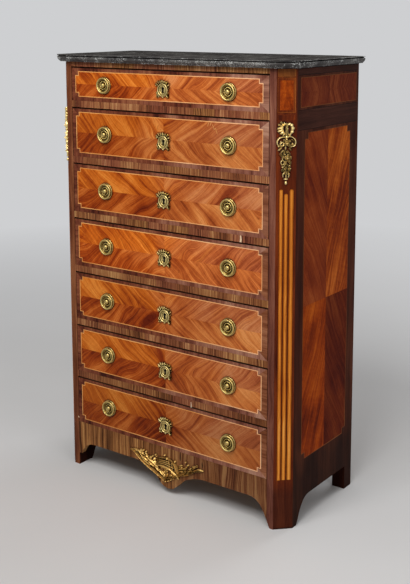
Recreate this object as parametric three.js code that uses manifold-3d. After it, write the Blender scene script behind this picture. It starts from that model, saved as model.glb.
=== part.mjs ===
// A semainier: a tall chest of seven drawers with canted corners, ring handles and a marble top.
// Millimetres, +Z up, the front faces -Y. The origin is on the floor, under the middle of the marble.

import * as THREE from 'three';
import { mergeVertices } from 'three/addons/utils/BufferGeometryUtils.js';
import Module from 'manifold-3d';

const wasm = await Module();
wasm.setup();

// Case
const caseWidth = 930;
const caseDepth = 426;
const footRise = 89;             // floor to the flat of the front arch
const apronHeight = 73;          // flat of the front arch to the lowest drawer
const firstOpeningHeight = 115;  // opening of the shallow top drawer
const openingHeight = 169;       // opening of each of the other drawers
const railHeight = 22;
const topRailHeight = 17;
const drawerCount = 7;

// Corner posts, seen from above: a front face, a cant at 45 degrees and a side face
const postFrontFace = 23;
const postCant = 44;
const postSideFace = 47;
const rearPostSize = 46;

// Boards
const sideThickness = 20;
const backThickness = 12;
const backRise = 100;            // floor to the lower edge of the back
const backStile = 70;            // frame of the back round its panels
const backPanelRecess = 4;
const backPanelColumns = 2;
const backPanelRows = 3;
const bottomThickness = 18;
const apronThickness = 20;

// Feet: how wide each is on the floor beyond the cant, and how far its bracket curve runs
const frontFootFace = 13;
const sideFootFace = 23;
const frontBracketRun = 80;
const sideBracketRun = 78;
const sideArchRise = 81;
const brokenTipRise = 44;        // the left front bracket has lost its tip up to this height
const bracketCurveShares = [[0.25, 0.45], [0.38, 1], [1, 1]];

// Drop of the apron, half of it: its run from its own centre and its rise above the floor
const dropOffset = 6;            // middle of the case to the drop's centre
const dropRun = 140;
const dropRise = 20.5;
const dropLowerShares = [[0.06, 0], [0.2, 0.04], [0.3, 0.36], [0.44, 0.6]];
const dropUpperShares = [[0.54, 0.76], [0.72, 0.93], [1, 1]];

// Rail frames between the drawers
const railDepth = 50;
const runnerWidth = 60;
const dustBoardThickness = 8;
const guideHeight = 20;
const stopHeight = 6;
const stopWidth = 40;
const stopDepth = 20;
const stopInset = 120;           // post to the middle of a drawer stop

// Drawers
const drawerFrontThickness = 22;
const drawerTopGap = 3.5;
const drawerSideGap = 2;
const drawerRearGap = 12;        // back of the drawer to the back of the case
const trayWall = 12;
const trayBottomThickness = 8;
const trayBottomRise = 8;
const trayTopGap = 8;            // top of the drawer sides below the opening's top

// Ring handles
const handleInset = 147;         // post to the middle of a handle
const plateRadius = 28;
const plateRimHeight = 3.6;
const bossRadius = 12;
const bossHeight = 12;
const plateProfileShares = [[1, 0.6], [0.91, 1], [0.77, 0.56], [0.5, 0.56]];
const bossProfileShares = [[1, 0.5], [0.58, 0.88]];
const plateSegments = 20;
const ringRadius = 24;
const ringTubeRadius = 2.7;
const ringStandoff = 9;          // drawer face to the axis of the ring's hinge
const ringSegments = 20;
const ringSides = 6;
const ringClearance = 0.8;
const knuckleWall = 1.7;
const knuckleWidth = 6;
const knuckleSegments = 10;

// Marble top
const marbleThickness = 22;
const marbleSideOverhang = 22;
const marbleFrontOverhang = 25;
const marbleRearOverhang = 3;
const marbleCornerCut = 48;
const marbleMouldingDepth = 10;
const marbleProfileShares = [[0, 1], [0.2, 0.55], [0.45, 0.14], [0.66, 0], [0.84, 0.06], [1, 0.14]];

// Bronze falls on the cants. Points are drawn for the right half, as shares across and down.
const fallTopDrop = 157;         // top of the case to the top of the fall
const fallWidth = 60;
const fallHeight = 191;
const fallDepth = 9;
const ribbonTubeRadius = 2.7;
const bowInnerShares = [[0.04, 0.19], [0.3, 0.15], [0.33, 0.07]];
const bowOuterShares = [[0.63, 0], [1, 0.08], [0.88, 0.15], [0.5, 0.19], [0.06, 0.2]];
const ribbonLoopShares = [[0.14, 0.21], [0.55, 0.2], [0.93, 0.24], [1, 0.31], [0.8, 0.38], [0.4, 0.41]];
const knotShares = [0, 0.21];
const garlandShares = [[0.31, 0.62], [0.43, 0.58], [0.54, 0.48], [0.65, 0.39], [0.76, 0.29], [0.87, 0.19]];
const garlandLengthShare = 0.075;
const garlandDepthShare = 0.75;
const fallDropShare = 0.95;
const fallDropRadius = 4.5;

// Bronze mount on the apron, also drawn for the right half as shares across and up
const apronMountWidth = 312;
const apronMountTop = 128;       // floor to its top
const apronMountFoot = 42;       // floor to its lowest point
const apronMountDepth = 10;
const branchTubeRadius = 4.6;
const innerTubeRadius = 2.4;
const branchLowerShares = [[0.02, 0.07], [0.14, 0.18], [0.3, 0.37], [0.47, 0.52]];
const branchUpperShares = [[0.65, 0.72], [0.85, 0.93], [1, 0.94]];
const innerBranchShares = [[0.2, 0.36], [0.36, 0.56], [0.52, 0.74], [0.68, 0.88], [0.85, 0.95]];
const latticeRimShares = [[0.02, 0.96], [0.15, 0.9], [0.26, 0.76], [0.29, 0.6], [0.24, 0.48], [0.02, 0.58]];
const mountLeafShares = [[0.28, 0.56], [0.41, 0.72], [0.53, 0.84], [0.66, 0.91], [0.79, 0.93]];
const mountLeafRadii = [9, 5];
const mountLeafDepthShare = 0.6;
const latticeShares = [0, 0.74];
const latticeRadii = [38, 20];
const latticeDepthShare = 0.3;
const budShares = [0, 0.3];
const budRadii = [15, 17];

// Fits
const contactGap = 0.3;          // between a piece and a turned, cut or sliding neighbour
const overrun = 5;               // how far a cutter runs past what it cuts
const curveSegments = 10;
const lobeSegments = 8;
const lobeRows = 6;
const barSides = 6;
const barStepsPerPoint = 2;

// Planes of the case, all worked out from the sizes above
const caseCentreY = (marbleFrontOverhang - marbleRearOverhang) / 2;
const frontY = caseCentreY - caseDepth / 2;
const rearY = caseCentreY + caseDepth / 2;
const sideX = caseWidth / 2;
const cantFrontX = sideX - postCant;
const cantSideY = frontY + postCant;
const postInnerX = cantFrontX - postFrontFace;
const postRearY = cantSideY + postSideFace;
const sideInnerX = sideX - sideThickness;
const rearPostInnerX = sideX - rearPostSize;
const rearPostFrontY = rearY - rearPostSize;
const backInnerY = rearY - backThickness;
const bottomZ = footRise + apronHeight;

// Drawer openings, numbered from the top
const lowerOpenings = drawerCount - 1;
const openings = [];
for (let number = 1; number <= drawerCount; number += 1) {
  const below = drawerCount - number;
  const bottom = bottomZ + below * (openingHeight + railHeight);
  const height = number === 1 ? firstOpeningHeight : openingHeight;
  openings.push({ number, bottom, top: bottom + height });
}
const topRailZ = openings[0].top;
const caseTopZ = topRailZ + topRailHeight;

const finishes = {
  marble: { color: 0x4b4c4a, roughness: 0.35, metalness: 0 },
  purplewood: { color: 0x5a3026, roughness: 0.45, metalness: 0 },
  tulipwood: { color: 0xb5602a, roughness: 0.4, metalness: 0 },
  rail: { color: 0x6e4e38, roughness: 0.5, metalness: 0 },
  oak: { color: 0x9a7448, roughness: 0.7, metalness: 0 },
  bronze: { color: 0xb08d3e, roughness: 0.35, metalness: 1 },
};

const group = new THREE.Group();

// Closed geometry with shared vertices and no other attributes
function bare(geometry) {
  geometry.deleteAttribute('normal');
  geometry.deleteAttribute('uv');
  return mergeVertices(geometry);
}

function toSolid(geometry) {
  const merged = bare(geometry);
  const vertProperties = new Float32Array(merged.attributes.position.array);
  const triVerts = new Uint32Array(merged.index.array);
  return new wasm.Manifold(new wasm.Mesh({ numProp: 3, vertProperties, triVerts }));
}

function toGeometry(solid) {
  const mesh = solid.getMesh();
  const geometry = new THREE.BufferGeometry();
  geometry.setAttribute('position', new THREE.BufferAttribute(mesh.vertProperties, 3));
  geometry.setIndex(new THREE.BufferAttribute(mesh.triVerts, 1));
  return geometry;
}

function union(solids) {
  return solids.reduce((whole, next) => whole.add(next));
}

// A shape drawn in two axes and run along the third, with its ends exactly at low and high.
// Axis z: drawn in x and y. Axis x: drawn in y and z. Axis y: drawn in x and z.
function prism(shape, axis, low, high) {
  const geometry = new THREE.ExtrudeGeometry(shape, { depth: 1, bevelEnabled: false, curveSegments });
  const position = geometry.attributes.position;
  for (let i = 0; i < position.count; i += 1) {
    const a = position.getX(i);
    const b = position.getY(i);
    const far = position.getZ(i) > 1 / 2;
    if (axis === 'z') position.setXYZ(i, a, b, far ? high : low);
    if (axis === 'x') position.setXYZ(i, far ? high : low, a, b);
    if (axis === 'y') position.setXYZ(i, a, far ? low : high, b);
  }
  return toSolid(geometry);
}

function polygon(points) {
  return new THREE.Shape(points.map(([a, b]) => new THREE.Vector2(a, b)));
}

function block([x0, x1], [y0, y1], [z0, z1]) {
  return prism(polygon([[x0, y0], [x1, y0], [x1, y1], [x0, y1]]), 'z', z0, z1);
}

// Points of a half outline mirrored to the left, in the order that closes it
function mirrored(points) {
  return points.map(([x, y]) => [-x, y]).reverse();
}

function withMirror(points) {
  return [...points, ...mirrored(points)];
}

function mirrorX(geometry) {
  const position = geometry.attributes.position;
  for (let i = 0; i < position.count; i += 1) position.setX(i, -position.getX(i));
  const index = geometry.index;
  for (let i = 0; i < index.count; i += 3) {
    const first = index.getX(i);
    index.setX(i, index.getX(i + 1));
    index.setX(i + 1, first);
  }
  return geometry;
}

function addPiece(name, geometry, finish) {
  const material = new THREE.MeshStandardMaterial(finishes[finish]);
  const mesh = new THREE.Mesh(geometry, material);
  mesh.name = name;
  group.add(mesh);
  return mesh;
}

// The right piece as it is, and the left one as its mirror image
function addPair(name, solid, finish) {
  addPiece(`right_${name}`, toGeometry(solid), finish);
  addPiece(`left_${name}`, mirrorX(toGeometry(solid)), finish);
}

// Bracket curve from a foot's edge on the floor up to the flat of its arch.
// Direction is 1 where the run goes towards larger values and -1 where it goes back.
function bracketTo(shape, foot, direction, run, rise) {
  const [first, second, end] = bracketCurveShares.map(([a, b]) => [foot + direction * run * a, rise * b]);
  shape.bezierCurveTo(...first, ...second, ...end);
}

function bracketPoints(foot) {
  const shape = new THREE.Shape();
  shape.moveTo(foot, -overrun);
  shape.lineTo(foot, 0);
  bracketTo(shape, foot, -1, frontBracketRun, footRise);
  return shape.getPoints(curveSegments).map(({ x, y }) => [x, y]);
}

// Half of the drop, from its upper end to its lowest point
function dropPoints() {
  const place = ([a, b]) => [dropRun * a, dropRise + (footRise - dropRise) * b];
  const upper = dropUpperShares.map(place);
  const lower = dropLowerShares.map(place);
  const shape = new THREE.Shape();
  shape.moveTo(...upper[2]);
  shape.bezierCurveTo(...upper[1], ...upper[0], ...lower[3]);
  shape.bezierCurveTo(...lower[2], ...lower[1], ...lower[0]);
  return shape.getPoints(curveSegments).map(({ x, y }) => [x, y]);
}

// Outline of the space under the front: two brackets, two flats and the drop between them
function frontVoidShape() {
  const bracket = bracketPoints(cantFrontX - frontFootFace);
  const drop = dropPoints();
  const middle = [...drop, ...mirrored(drop)].map(([x, y]) => [x + dropOffset, y]);
  return polygon([...bracket, ...middle, ...mirrored(bracket)]);
}

function sideVoidShape() {
  const foot = cantSideY + sideFootFace;
  const shape = new THREE.Shape();
  shape.moveTo(foot, -overrun);
  shape.lineTo(foot, 0);
  bracketTo(shape, foot, 1, sideBracketRun, sideArchRise);
  shape.lineTo(rearPostFrontY, sideArchRise);
  shape.lineTo(rearPostFrontY, -overrun);
  return shape;
}

const frontVoid = prism(frontVoidShape(), 'y', frontY - overrun, postRearY + overrun);
const sideVoid = prism(sideVoidShape(), 'x', postInnerX - overrun, sideX + overrun);

// Corner posts

function buildPosts() {
  const section = polygon([
    [postInnerX, frontY],
    [cantFrontX, frontY],
    [sideX, cantSideY],
    [sideX, postRearY],
    [postInnerX, postRearY],
  ]);
  const post = prism(section, 'z', 0, caseTopZ).subtract(sideVoid);
  addPiece('right_front_post', toGeometry(post.subtract(frontVoid)), 'purplewood');
  addPiece('left_front_post', mirrorX(toGeometry(post)), 'purplewood');
}

// Sides, each with its rear post

function buildSides() {
  const panel = block([sideInnerX, sideX], [postRearY, rearPostFrontY], [0, caseTopZ]);
  const rearPost = block([rearPostInnerX, sideX], [rearPostFrontY, rearY], [0, caseTopZ]);
  addPair('side', panel.subtract(sideVoid).add(rearPost), 'purplewood');
}

function buildBack() {
  const board = block([-rearPostInnerX, rearPostInnerX], [backInnerY, rearY], [backRise, caseTopZ]);
  const pitchX = (rearPostInnerX * 2 - backStile) / backPanelColumns;
  const pitchZ = (caseTopZ - backRise - backStile) / backPanelRows;
  let back = board;
  for (let column = 0; column < backPanelColumns; column += 1) {
    for (let row = 0; row < backPanelRows; row += 1) {
      const x = -rearPostInnerX + backStile + column * pitchX;
      const z = backRise + backStile + row * pitchZ;
      const field = [[x, x + pitchX - backStile], [z, z + pitchZ - backStile]];
      back = back.subtract(block(field[0], [rearY - backPanelRecess, rearY + overrun], field[1]));
    }
  }
  addPiece('back_panel', toGeometry(back), 'oak');
}

// Level boards: they fit between the posts in front and reach the sides and the rear posts behind

function levelOutline(front) {
  return polygon(withMirror([
    [postInnerX, front],
    [postInnerX, postRearY],
    [sideInnerX, postRearY],
    [sideInnerX, rearPostFrontY],
    [rearPostInnerX, rearPostFrontY],
    [rearPostInnerX, backInnerY],
  ]));
}

// Guides keep a drawer straight, and stops end its way in
function guidesAndStops(z) {
  const stopFront = frontY + drawerFrontThickness + contactGap;
  const stopX = postInnerX - stopInset;
  const solids = [];
  for (const side of [-1, 1]) {
    const guideX = [side * postInnerX, side * sideInnerX].sort((a, b) => a - b);
    solids.push(block(guideX, [postRearY, rearPostFrontY], [z, z + guideHeight]));
    const middle = side * stopX;
    const stopSpan = [middle - stopWidth / 2, middle + stopWidth / 2];
    solids.push(block(stopSpan, [stopFront, stopFront + stopDepth], [z, z + stopHeight]));
  }
  return union(solids);
}

function buildRailFrames() {
  const recess = (railHeight - dustBoardThickness) / 2;
  const openX = postInnerX - runnerWidth;
  const openY = [frontY + railDepth, backInnerY - railDepth];
  for (const { number, bottom } of openings.slice(0, lowerOpenings)) {
    const low = bottom - railHeight;
    const board = prism(levelOutline(frontY), 'z', low, bottom);
    const upper = block([-openX, openX], openY, [bottom - recess, bottom + overrun]);
    const lower = block([-openX, openX], openY, [low - overrun, low + recess]);
    const frame = board.subtract(upper).subtract(lower).add(guidesAndStops(bottom));
    addPiece(`rail_frame_${number}`, toGeometry(frame), 'rail');
  }
}

function buildTopAndBottom() {
  const top = prism(levelOutline(frontY), 'z', topRailZ, caseTopZ);
  addPiece('top_board', toGeometry(top), 'rail');
  const bottom = prism(levelOutline(frontY + apronThickness), 'z', bottomZ - bottomThickness, bottomZ);
  addPiece('bottom_board', toGeometry(bottom.add(guidesAndStops(bottomZ))), 'oak');
}

function buildApron() {
  const board = block([-postInnerX, postInnerX], [frontY, frontY + apronThickness], [0, bottomZ]);
  const tip = block([-postInnerX - overrun, 0], [frontY - overrun, postRearY], [-overrun, brokenTipRise]);
  const centre = block([dropOffset - dropRun, 0], [frontY - overrun, postRearY], [-overrun, brokenTipRise]);
  const apron = board.subtract(frontVoid).subtract(tip.subtract(centre));
  addPiece('apron', toGeometry(apron), 'rail');
}

// Drawers

function buildDrawer({ number, bottom, top }) {
  const halfWidth = postInnerX - drawerSideGap;
  const low = bottom + contactGap;
  const frontBack = frontY + drawerFrontThickness;
  const front = block([-halfWidth, halfWidth], [frontY, frontBack], [low, top - drawerTopGap]);
  addPiece(`drawer_${number}_front`, toGeometry(front), 'tulipwood');

  const rear = backInnerY - drawerRearGap;
  const innerX = halfWidth - trayWall;
  const innerRear = rear - trayWall;
  const floor = low + trayBottomRise;
  const walls = block([-halfWidth, halfWidth], [frontBack, rear], [low, top - trayTopGap]);
  const inside = [[-innerX, innerX], [frontBack - overrun, innerRear]];
  const cavity = block(...inside, [floor + trayBottomThickness, top]);
  const underside = block(...inside, [low - overrun, floor]);
  addPiece(`drawer_${number}_tray`, toGeometry(walls.subtract(cavity).subtract(underside)), 'oak');
}

// The ring's straight top segment turns in the knuckle, so its middle is the hinge axis
const ringAxisHeight = ringRadius * Math.cos(Math.PI / ringSegments);

// Handle plate: a turned disc with a rim, a boss and a knuckle at the top that holds the ring
function plateGeometry() {
  const rim = plateProfileShares.map(([r, h]) => [plateRadius * r, plateRimHeight * h]);
  const boss = bossProfileShares.map(([r, h]) => [bossRadius * r, bossHeight * h]);
  const profile = [[0, 0], [plateRadius, 0], ...rim, ...boss, [0, bossHeight]];
  const points = profile.map(([r, h]) => new THREE.Vector2(r, h));
  const disc = toSolid(new THREE.LatheGeometry(points, plateSegments).rotateX(Math.PI));
  const hole = ringTubeRadius + ringClearance;
  const outer = hole + knuckleWall;
  const neck = block([-knuckleWidth / 2, knuckleWidth / 2], [-ringStandoff, 0], [-outer / 2, outer / 2]);
  const knuckle = toSolid(crossCylinder(outer, knuckleWidth)).add(neck.translate([0, ringStandoff, 0]));
  const bored = knuckle.subtract(toSolid(crossCylinder(hole, knuckleWidth + overrun)));
  return toGeometry(disc.add(bored.translate([0, -ringStandoff, ringAxisHeight])));
}

function crossCylinder(radius, width) {
  return new THREE.CylinderGeometry(radius, radius, width, knuckleSegments).rotateZ(Math.PI / 2);
}

function ringGeometry() {
  const ring = new THREE.TorusGeometry(ringRadius, ringTubeRadius, ringSides, ringSegments);
  ring.rotateZ(Math.PI / 2 + Math.PI / ringSegments);
  return bare(ring.rotateX(Math.PI / 2));
}

function buildHandles({ number, bottom, top }) {
  const middle = (bottom + contactGap + top - drawerTopGap) / 2;
  for (const [side, direction] of [['left', -1], ['right', 1]]) {
    const place = [direction * (postInnerX - handleInset), frontY - contactGap, middle];
    const plate = addPiece(`drawer_${number}_plate_${side}`, plateGeometry(), 'bronze');
    plate.position.set(...place);
    const ring = addPiece(`drawer_${number}_ring_${side}`, ringGeometry(), 'bronze');
    ring.position.set(place[0], place[1] - ringStandoff, middle);
  }
}

// Marble top: its outline shrinks level by level along the moulding, except at the plain rear edge

function marbleOutline(inset) {
  const halfWidth = sideX + marbleSideOverhang - inset;
  const front = frontY - marbleFrontOverhang + inset;
  const rear = rearY + marbleRearOverhang;
  const cut = marbleCornerCut - inset * Math.tan(Math.PI / 8);
  return withMirror([[halfWidth - cut, front], [halfWidth, front + cut], [halfWidth, rear]]);
}

// Closed solid through outlines of equally many points, from the lowest to the highest
function loft(outlines, levels) {
  const count = outlines[0].length;
  const vertices = outlines.flatMap((outline, i) => outline.flatMap(([x, y]) => [x, y, levels[i]]));
  const faces = [];
  for (let level = 0; level + 1 < outlines.length; level += 1) {
    for (let i = 0; i < count; i += 1) {
      const a = level * count + i;
      const b = level * count + (i + 1) % count;
      faces.push(a, b, b + count, a, b + count, a + count);
    }
  }
  const last = (outlines.length - 1) * count;
  for (let i = 1; i + 1 < count; i += 1) {
    faces.push(0, i + 1, i, last, last + i, last + i + 1);
  }
  const geometry = new THREE.BufferGeometry();
  geometry.setAttribute('position', new THREE.Float32BufferAttribute(vertices, 3));
  geometry.setIndex(faces);
  return geometry;
}

function buildMarble() {
  const outlines = marbleProfileShares.map(([, inset]) => marbleOutline(marbleMouldingDepth * inset));
  const levels = marbleProfileShares.map(([rise]) => caseTopZ + marbleThickness * rise);
  addPiece('marble_top', loft(outlines, levels), 'marble');
}

// Bronze mounts, drawn flat: x to the right, y up, z out of the wood

function lobe([x, y], [rx, ry, rz], turn = 0) {
  const ball = new THREE.SphereGeometry(1, lobeSegments, lobeRows);
  ball.scale(rx, ry, rz).rotateZ(turn).translate(x, y, 0);
  return toSolid(ball);
}

// A round bar bent through the points, with closed ends
function bar(points, radius) {
  const bend = new THREE.CatmullRomCurve3(points.map(([x, y]) => new THREE.Vector3(x, y, 0)));
  const section = new THREE.Shape();
  section.absarc(0, 0, radius, 0, 2 * Math.PI);
  const steps = points.length * barStepsPerPoint;
  const settings = { extrudePath: bend, steps, curveSegments: barSides / 2 };
  return toSolid(new THREE.ExtrudeGeometry(section, settings));
}

// Keeps what stands proud of the wood, so the back is flat
function flatBack(solid, reach) {
  const keep = block([-reach, reach], [-reach, reach], [contactGap, reach]);
  return solid.intersect(keep);
}

// A bow of two loops, two wider ribbon loops, then a garland that tapers to a drop
function fallSolid() {
  const across = fallWidth / 2 - ribbonTubeRadius;
  const down = fallHeight - ribbonTubeRadius;
  const place = ([a, b], side = 1) => [side * across * a, -ribbonTubeRadius - down * b];
  const knot = ribbonTubeRadius * 2;
  const solids = [lobe(place(knotShares), [knot, knot, fallDepth])];
  const bowShares = [...bowInnerShares, ...bowOuterShares];
  for (const side of [-1, 1]) {
    solids.push(bar(bowShares.map((share) => place(share, side)), ribbonTubeRadius));
    solids.push(bar(ribbonLoopShares.map((share) => place(share, side)), ribbonTubeRadius));
  }
  for (const [fallen, width] of garlandShares) {
    const depth = fallDepth * (garlandDepthShare + (1 - garlandDepthShare) * width);
    solids.push(lobe(place([0, fallen]), [across * width, down * garlandLengthShare, depth]));
  }
  solids.push(lobe(place([0, fallDropShare]), [fallDropRadius, down * (1 - fallDropShare), fallDropRadius]));
  return flatBack(union(solids), fallHeight * 2);
}

function buildFalls() {
  const fall = toGeometry(fallSolid());
  const middleX = (cantFrontX + sideX) / 2;
  const middleY = (frontY + cantSideY) / 2;
  fall.rotateX(Math.PI / 2).rotateZ(Math.PI / 4).translate(middleX, middleY, caseTopZ - fallTopDrop);
  addPiece('right_corner_fall', fall, 'bronze');
  addPiece('left_corner_fall', mirrorX(fall.clone()), 'bronze');
}

// Two branches that follow the apron's edge, leaves along them, and a lattice in a half-round frame
function apronMountSolid() {
  const height = apronMountTop - apronMountFoot;
  const half = apronMountWidth / 2;
  const place = ([a, b], side = 1) => [side * half * a, height * b];
  const solids = [
    lobe(place(latticeShares), [...latticeRadii, apronMountDepth * latticeDepthShare]),
    lobe(place(budShares), [...budRadii, apronMountDepth]),
  ];
  const branchShares = [...branchLowerShares, ...branchUpperShares];
  for (const side of [-1, 1]) {
    solids.push(bar(branchShares.map((share) => place(share, side)), branchTubeRadius));
    solids.push(bar(innerBranchShares.map((share) => place(share, side)), innerTubeRadius));
    solids.push(bar(latticeRimShares.map((share) => place(share, side)), innerTubeRadius));
    mountLeafShares.forEach((share, i) => {
      const [large, small] = mountLeafRadii;
      const radius = large + (small - large) * i / mountLeafShares.length;
      const radii = [radius * 2, radius, apronMountDepth * mountLeafDepthShare];
      solids.push(lobe(place(share, side), radii, side * Math.PI / 4));
    });
  }
  return flatBack(union(solids), apronMountWidth);
}

function buildApronMount() {
  const mount = toGeometry(apronMountSolid());
  mount.rotateX(Math.PI / 2).translate(0, frontY, apronMountFoot);
  addPiece('apron_mount', mount, 'bronze');
}

buildMarble();
buildPosts();
buildSides();
buildBack();
buildTopAndBottom();
buildRailFrames();
buildApron();
for (const opening of openings) {
  buildDrawer(opening);
  buildHandles(opening);
}
buildFalls();
buildApronMount();

export default group;
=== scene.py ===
# A semainier: seven drawers in quartered veneer, canted corners, bronze mounts and a marble top.
# Metres, +Z up, the front faces -Y. The construction comes from the frame, and this script dresses it.
import math
import random

import bpy
from mathutils import Matrix, Vector


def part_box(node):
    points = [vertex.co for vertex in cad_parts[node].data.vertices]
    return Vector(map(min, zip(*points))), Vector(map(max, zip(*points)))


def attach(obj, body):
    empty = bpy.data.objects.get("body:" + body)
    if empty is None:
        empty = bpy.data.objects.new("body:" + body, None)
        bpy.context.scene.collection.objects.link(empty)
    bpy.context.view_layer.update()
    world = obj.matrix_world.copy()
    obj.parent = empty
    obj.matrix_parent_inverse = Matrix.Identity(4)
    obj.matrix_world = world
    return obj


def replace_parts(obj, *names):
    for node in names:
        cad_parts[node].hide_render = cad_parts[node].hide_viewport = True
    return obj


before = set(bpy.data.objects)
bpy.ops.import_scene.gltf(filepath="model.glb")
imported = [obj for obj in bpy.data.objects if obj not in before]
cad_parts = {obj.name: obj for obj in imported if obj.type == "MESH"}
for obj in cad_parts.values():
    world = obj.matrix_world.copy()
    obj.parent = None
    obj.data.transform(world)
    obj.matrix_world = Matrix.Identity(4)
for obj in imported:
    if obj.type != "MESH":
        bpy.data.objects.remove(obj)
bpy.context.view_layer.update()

MM = 0.001
dice = random.Random(7)

# Camera, fitted to the photograph
CAMERA_PLACE = (2.0365, -2.7682, 1.5965)
CAMERA_YAW = math.radians(-36.162)
CAMERA_PITCH = math.radians(-8.87)
CAMERA_ROLL = math.radians(-0.134)
CAMERA_LENS = 63.66
CAMERA_SHIFT = -0.2
CAMERA_SENSOR = 36

# Places of the case, read from the frame
POST_LOW, POST_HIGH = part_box("right_front_post")
FRONT_Y = POST_LOW.y
SIDE_X = POST_HIGH.x
OPENING_X = POST_LOW.x
REAR_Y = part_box("right_side")[1].y
POST_FACE = 23 * MM
CANT_RUN = 44 * MM
CANT_WIDTH = CANT_RUN * math.sqrt(2)
CANT_X = OPENING_X + POST_FACE
DRAWERS = 7

# Veneer
VENEER = 0.3 * MM
STRING_WIDTH = 2.6 * MM
FIELD_X = -2.5 * MM           # the old fields sit a little left of the middle
FIELD_HALF = 378 * MM
STRING_TOP = 15.5 * MM        # from the drawer opening to the string, at its top and at its bottom
STRING_BOTTOM = 14 * MM
NOTCH = 13 * MM
GRAIN_ANGLE = math.radians(40)
SIDE_GRAIN_ANGLE = math.radians(62)
UPRIGHT = math.radians(90)


def colour(red, green, blue):
    """Linear colour of a screen colour from 0 to 255."""
    def linear(value):
        share = value / 255
        return share / 12.92 if share <= 0.04045 else ((share + 0.055) / 1.055) ** 2.4
    return (linear(red), linear(green), linear(blue), 1.0)


# Planes and shells

class Plane:
    """A flat place to build on: u runs across it, v up it, and w out of it."""

    def __init__(self, origin, across, up, out):
        self.origin = Vector(origin)
        self.across = Vector(across).normalized()
        self.up = Vector(up).normalized()
        self.out = Vector(out).normalized()
        self.flipped = self.across.cross(self.up).dot(self.out) < 0

    def point(self, u, v, w=0.0):
        return self.origin + self.across * u + self.up * v + self.out * w

    def moved(self, u, v, w):
        return Plane(self.point(u, v, w), self.across, self.up, self.out)


X, Y, Z = Vector((1, 0, 0)), Vector((0, 1, 0)), Vector((0, 0, 1))
FRONT = Plane((0, FRONT_Y, 0), X, Z, -Y)
BACK = Plane((0, REAR_Y, 0), -X, Z, Y)
LEVEL = Plane((0, 0, 0), X, Y, Z)
HANDS = {"right": 1, "left": -1}
SIDES = {side: Plane((sign * SIDE_X, 0, 0), Y, Z, X * sign) for side, sign in HANDS.items()}
CANTS = {
    side: Plane((sign * CANT_X, FRONT_Y, 0), Y + X * sign, Z, X * sign - Y)
    for side, sign in HANDS.items()
}


class Shell:
    """One object while it is made, in the coordinates of its plane. Its cast and turned parts are of its
    stock, a material."""

    def __init__(self, plane, stock=None):
        self.plane = plane
        self.stock = stock
        self.points = []
        self.grain = []
        self.faces = []
        self.numbers = []
        self.materials = []

    def add(self, points, faces, material, grain):
        if material not in self.materials:
            self.materials.append(material)
        start = len(self.points)
        self.points += [Vector(p) for p in points]
        self.grain += grain or [(p[0], p[1]) for p in points]
        self.faces += [tuple(start + i for i in face) for face in faces]
        self.numbers += [self.materials.index(material)] * len(faces)

    def finish(self, name, body, smooth=None):
        mesh = bpy.data.meshes.new(name)
        turned = [tuple(reversed(f)) for f in self.faces] if self.plane.flipped else self.faces
        mesh.from_pydata([self.plane.point(*p) for p in self.points], [], turned)
        for material in self.materials:
            mesh.materials.append(material)
        mesh.polygons.foreach_set("material_index", self.numbers)
        layer = mesh.uv_layers.new(name="grain")
        for loop in mesh.loops:
            layer.data[loop.index].uv = self.grain[loop.vertex_index]
        if smooth:
            mesh.shade_smooth()
            mesh.set_sharp_from_angle(angle=math.radians(smooth))
        mesh.update()
        piece = bpy.data.objects.new(name, mesh)
        bpy.context.scene.collection.objects.link(piece)
        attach(piece, body)
        return piece


def signed_volume(points, faces):
    spots = [Vector(point) - Vector(points[0]) for point in points]
    return sum(
        spots[face[0]].dot(spots[second].cross(spots[third]))
        for face in faces for second, third in zip(face[1:], face[2:]))


def loft(shell, rings, material, cyclic=False, grain=None):
    """A closed body through rings of equally many points."""
    count = len(rings[0])
    points = [point for ring in rings for point in ring]
    faces = []
    for step in range(len(rings) if cyclic else len(rings) - 1):
        here = step * count
        there = (step + 1) % len(rings) * count
        for i in range(count):
            j = (i + 1) % count
            faces.append((here + i, here + j, there + j, there + i))
    if not cyclic:
        faces.append(tuple(reversed(range(count))))
        faces.append(tuple(range(len(points) - count, len(points))))
    if signed_volume(points, faces) < 0:
        faces = [tuple(reversed(face)) for face in faces]
    shell.add(points, faces, material, grain)


# Veneer work

def grain_of(points, angle, shift, centre=None):
    """Places along and across the grain. With a centre, the figure is mirrored about it. The shift is where
    in the figure a piece is cut: any number does, and pieces side by side have different ones."""
    places = []
    for point in points:
        u, v = point[0], point[1]
        if centre:
            u, v = abs(u - centre[0]), abs(v - centre[1])
        along = u * math.cos(angle) + v * math.sin(angle)
        across = v * math.cos(angle) - u * math.sin(angle)
        places.append((along + shift, across + shift))
    return places


def veneer(shell, outline, material, angle=0.0, centre=None, shift=0.0, low=0.0, high=VENEER):
    """A flat leaf of veneer with the given outline."""
    rings = [[(u, v, w) for u, v in outline] for w in (low, high)]
    points = rings[0] + rings[1]
    loft(shell, rings, material, grain=grain_of(points, angle, shift, centre))


def rectangle(left, right, bottom, top, inset=0.0):
    left, right, bottom, top = left + inset, right - inset, bottom + inset, top - inset
    return [(left, bottom), (right, bottom), (right, top), (left, top)]


def block(shell, sizes, levels, material, angle=0.0, shift=0.0):
    """A block or board, with a height and an inset of its outline for each of its levels."""
    rings = [[(u, v, w) for u, v in rectangle(*sizes, inset)] for w, inset in levels]
    points = [point for ring in rings for point in ring]
    loft(shell, rings, material, grain=grain_of(points, angle, shift))


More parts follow.
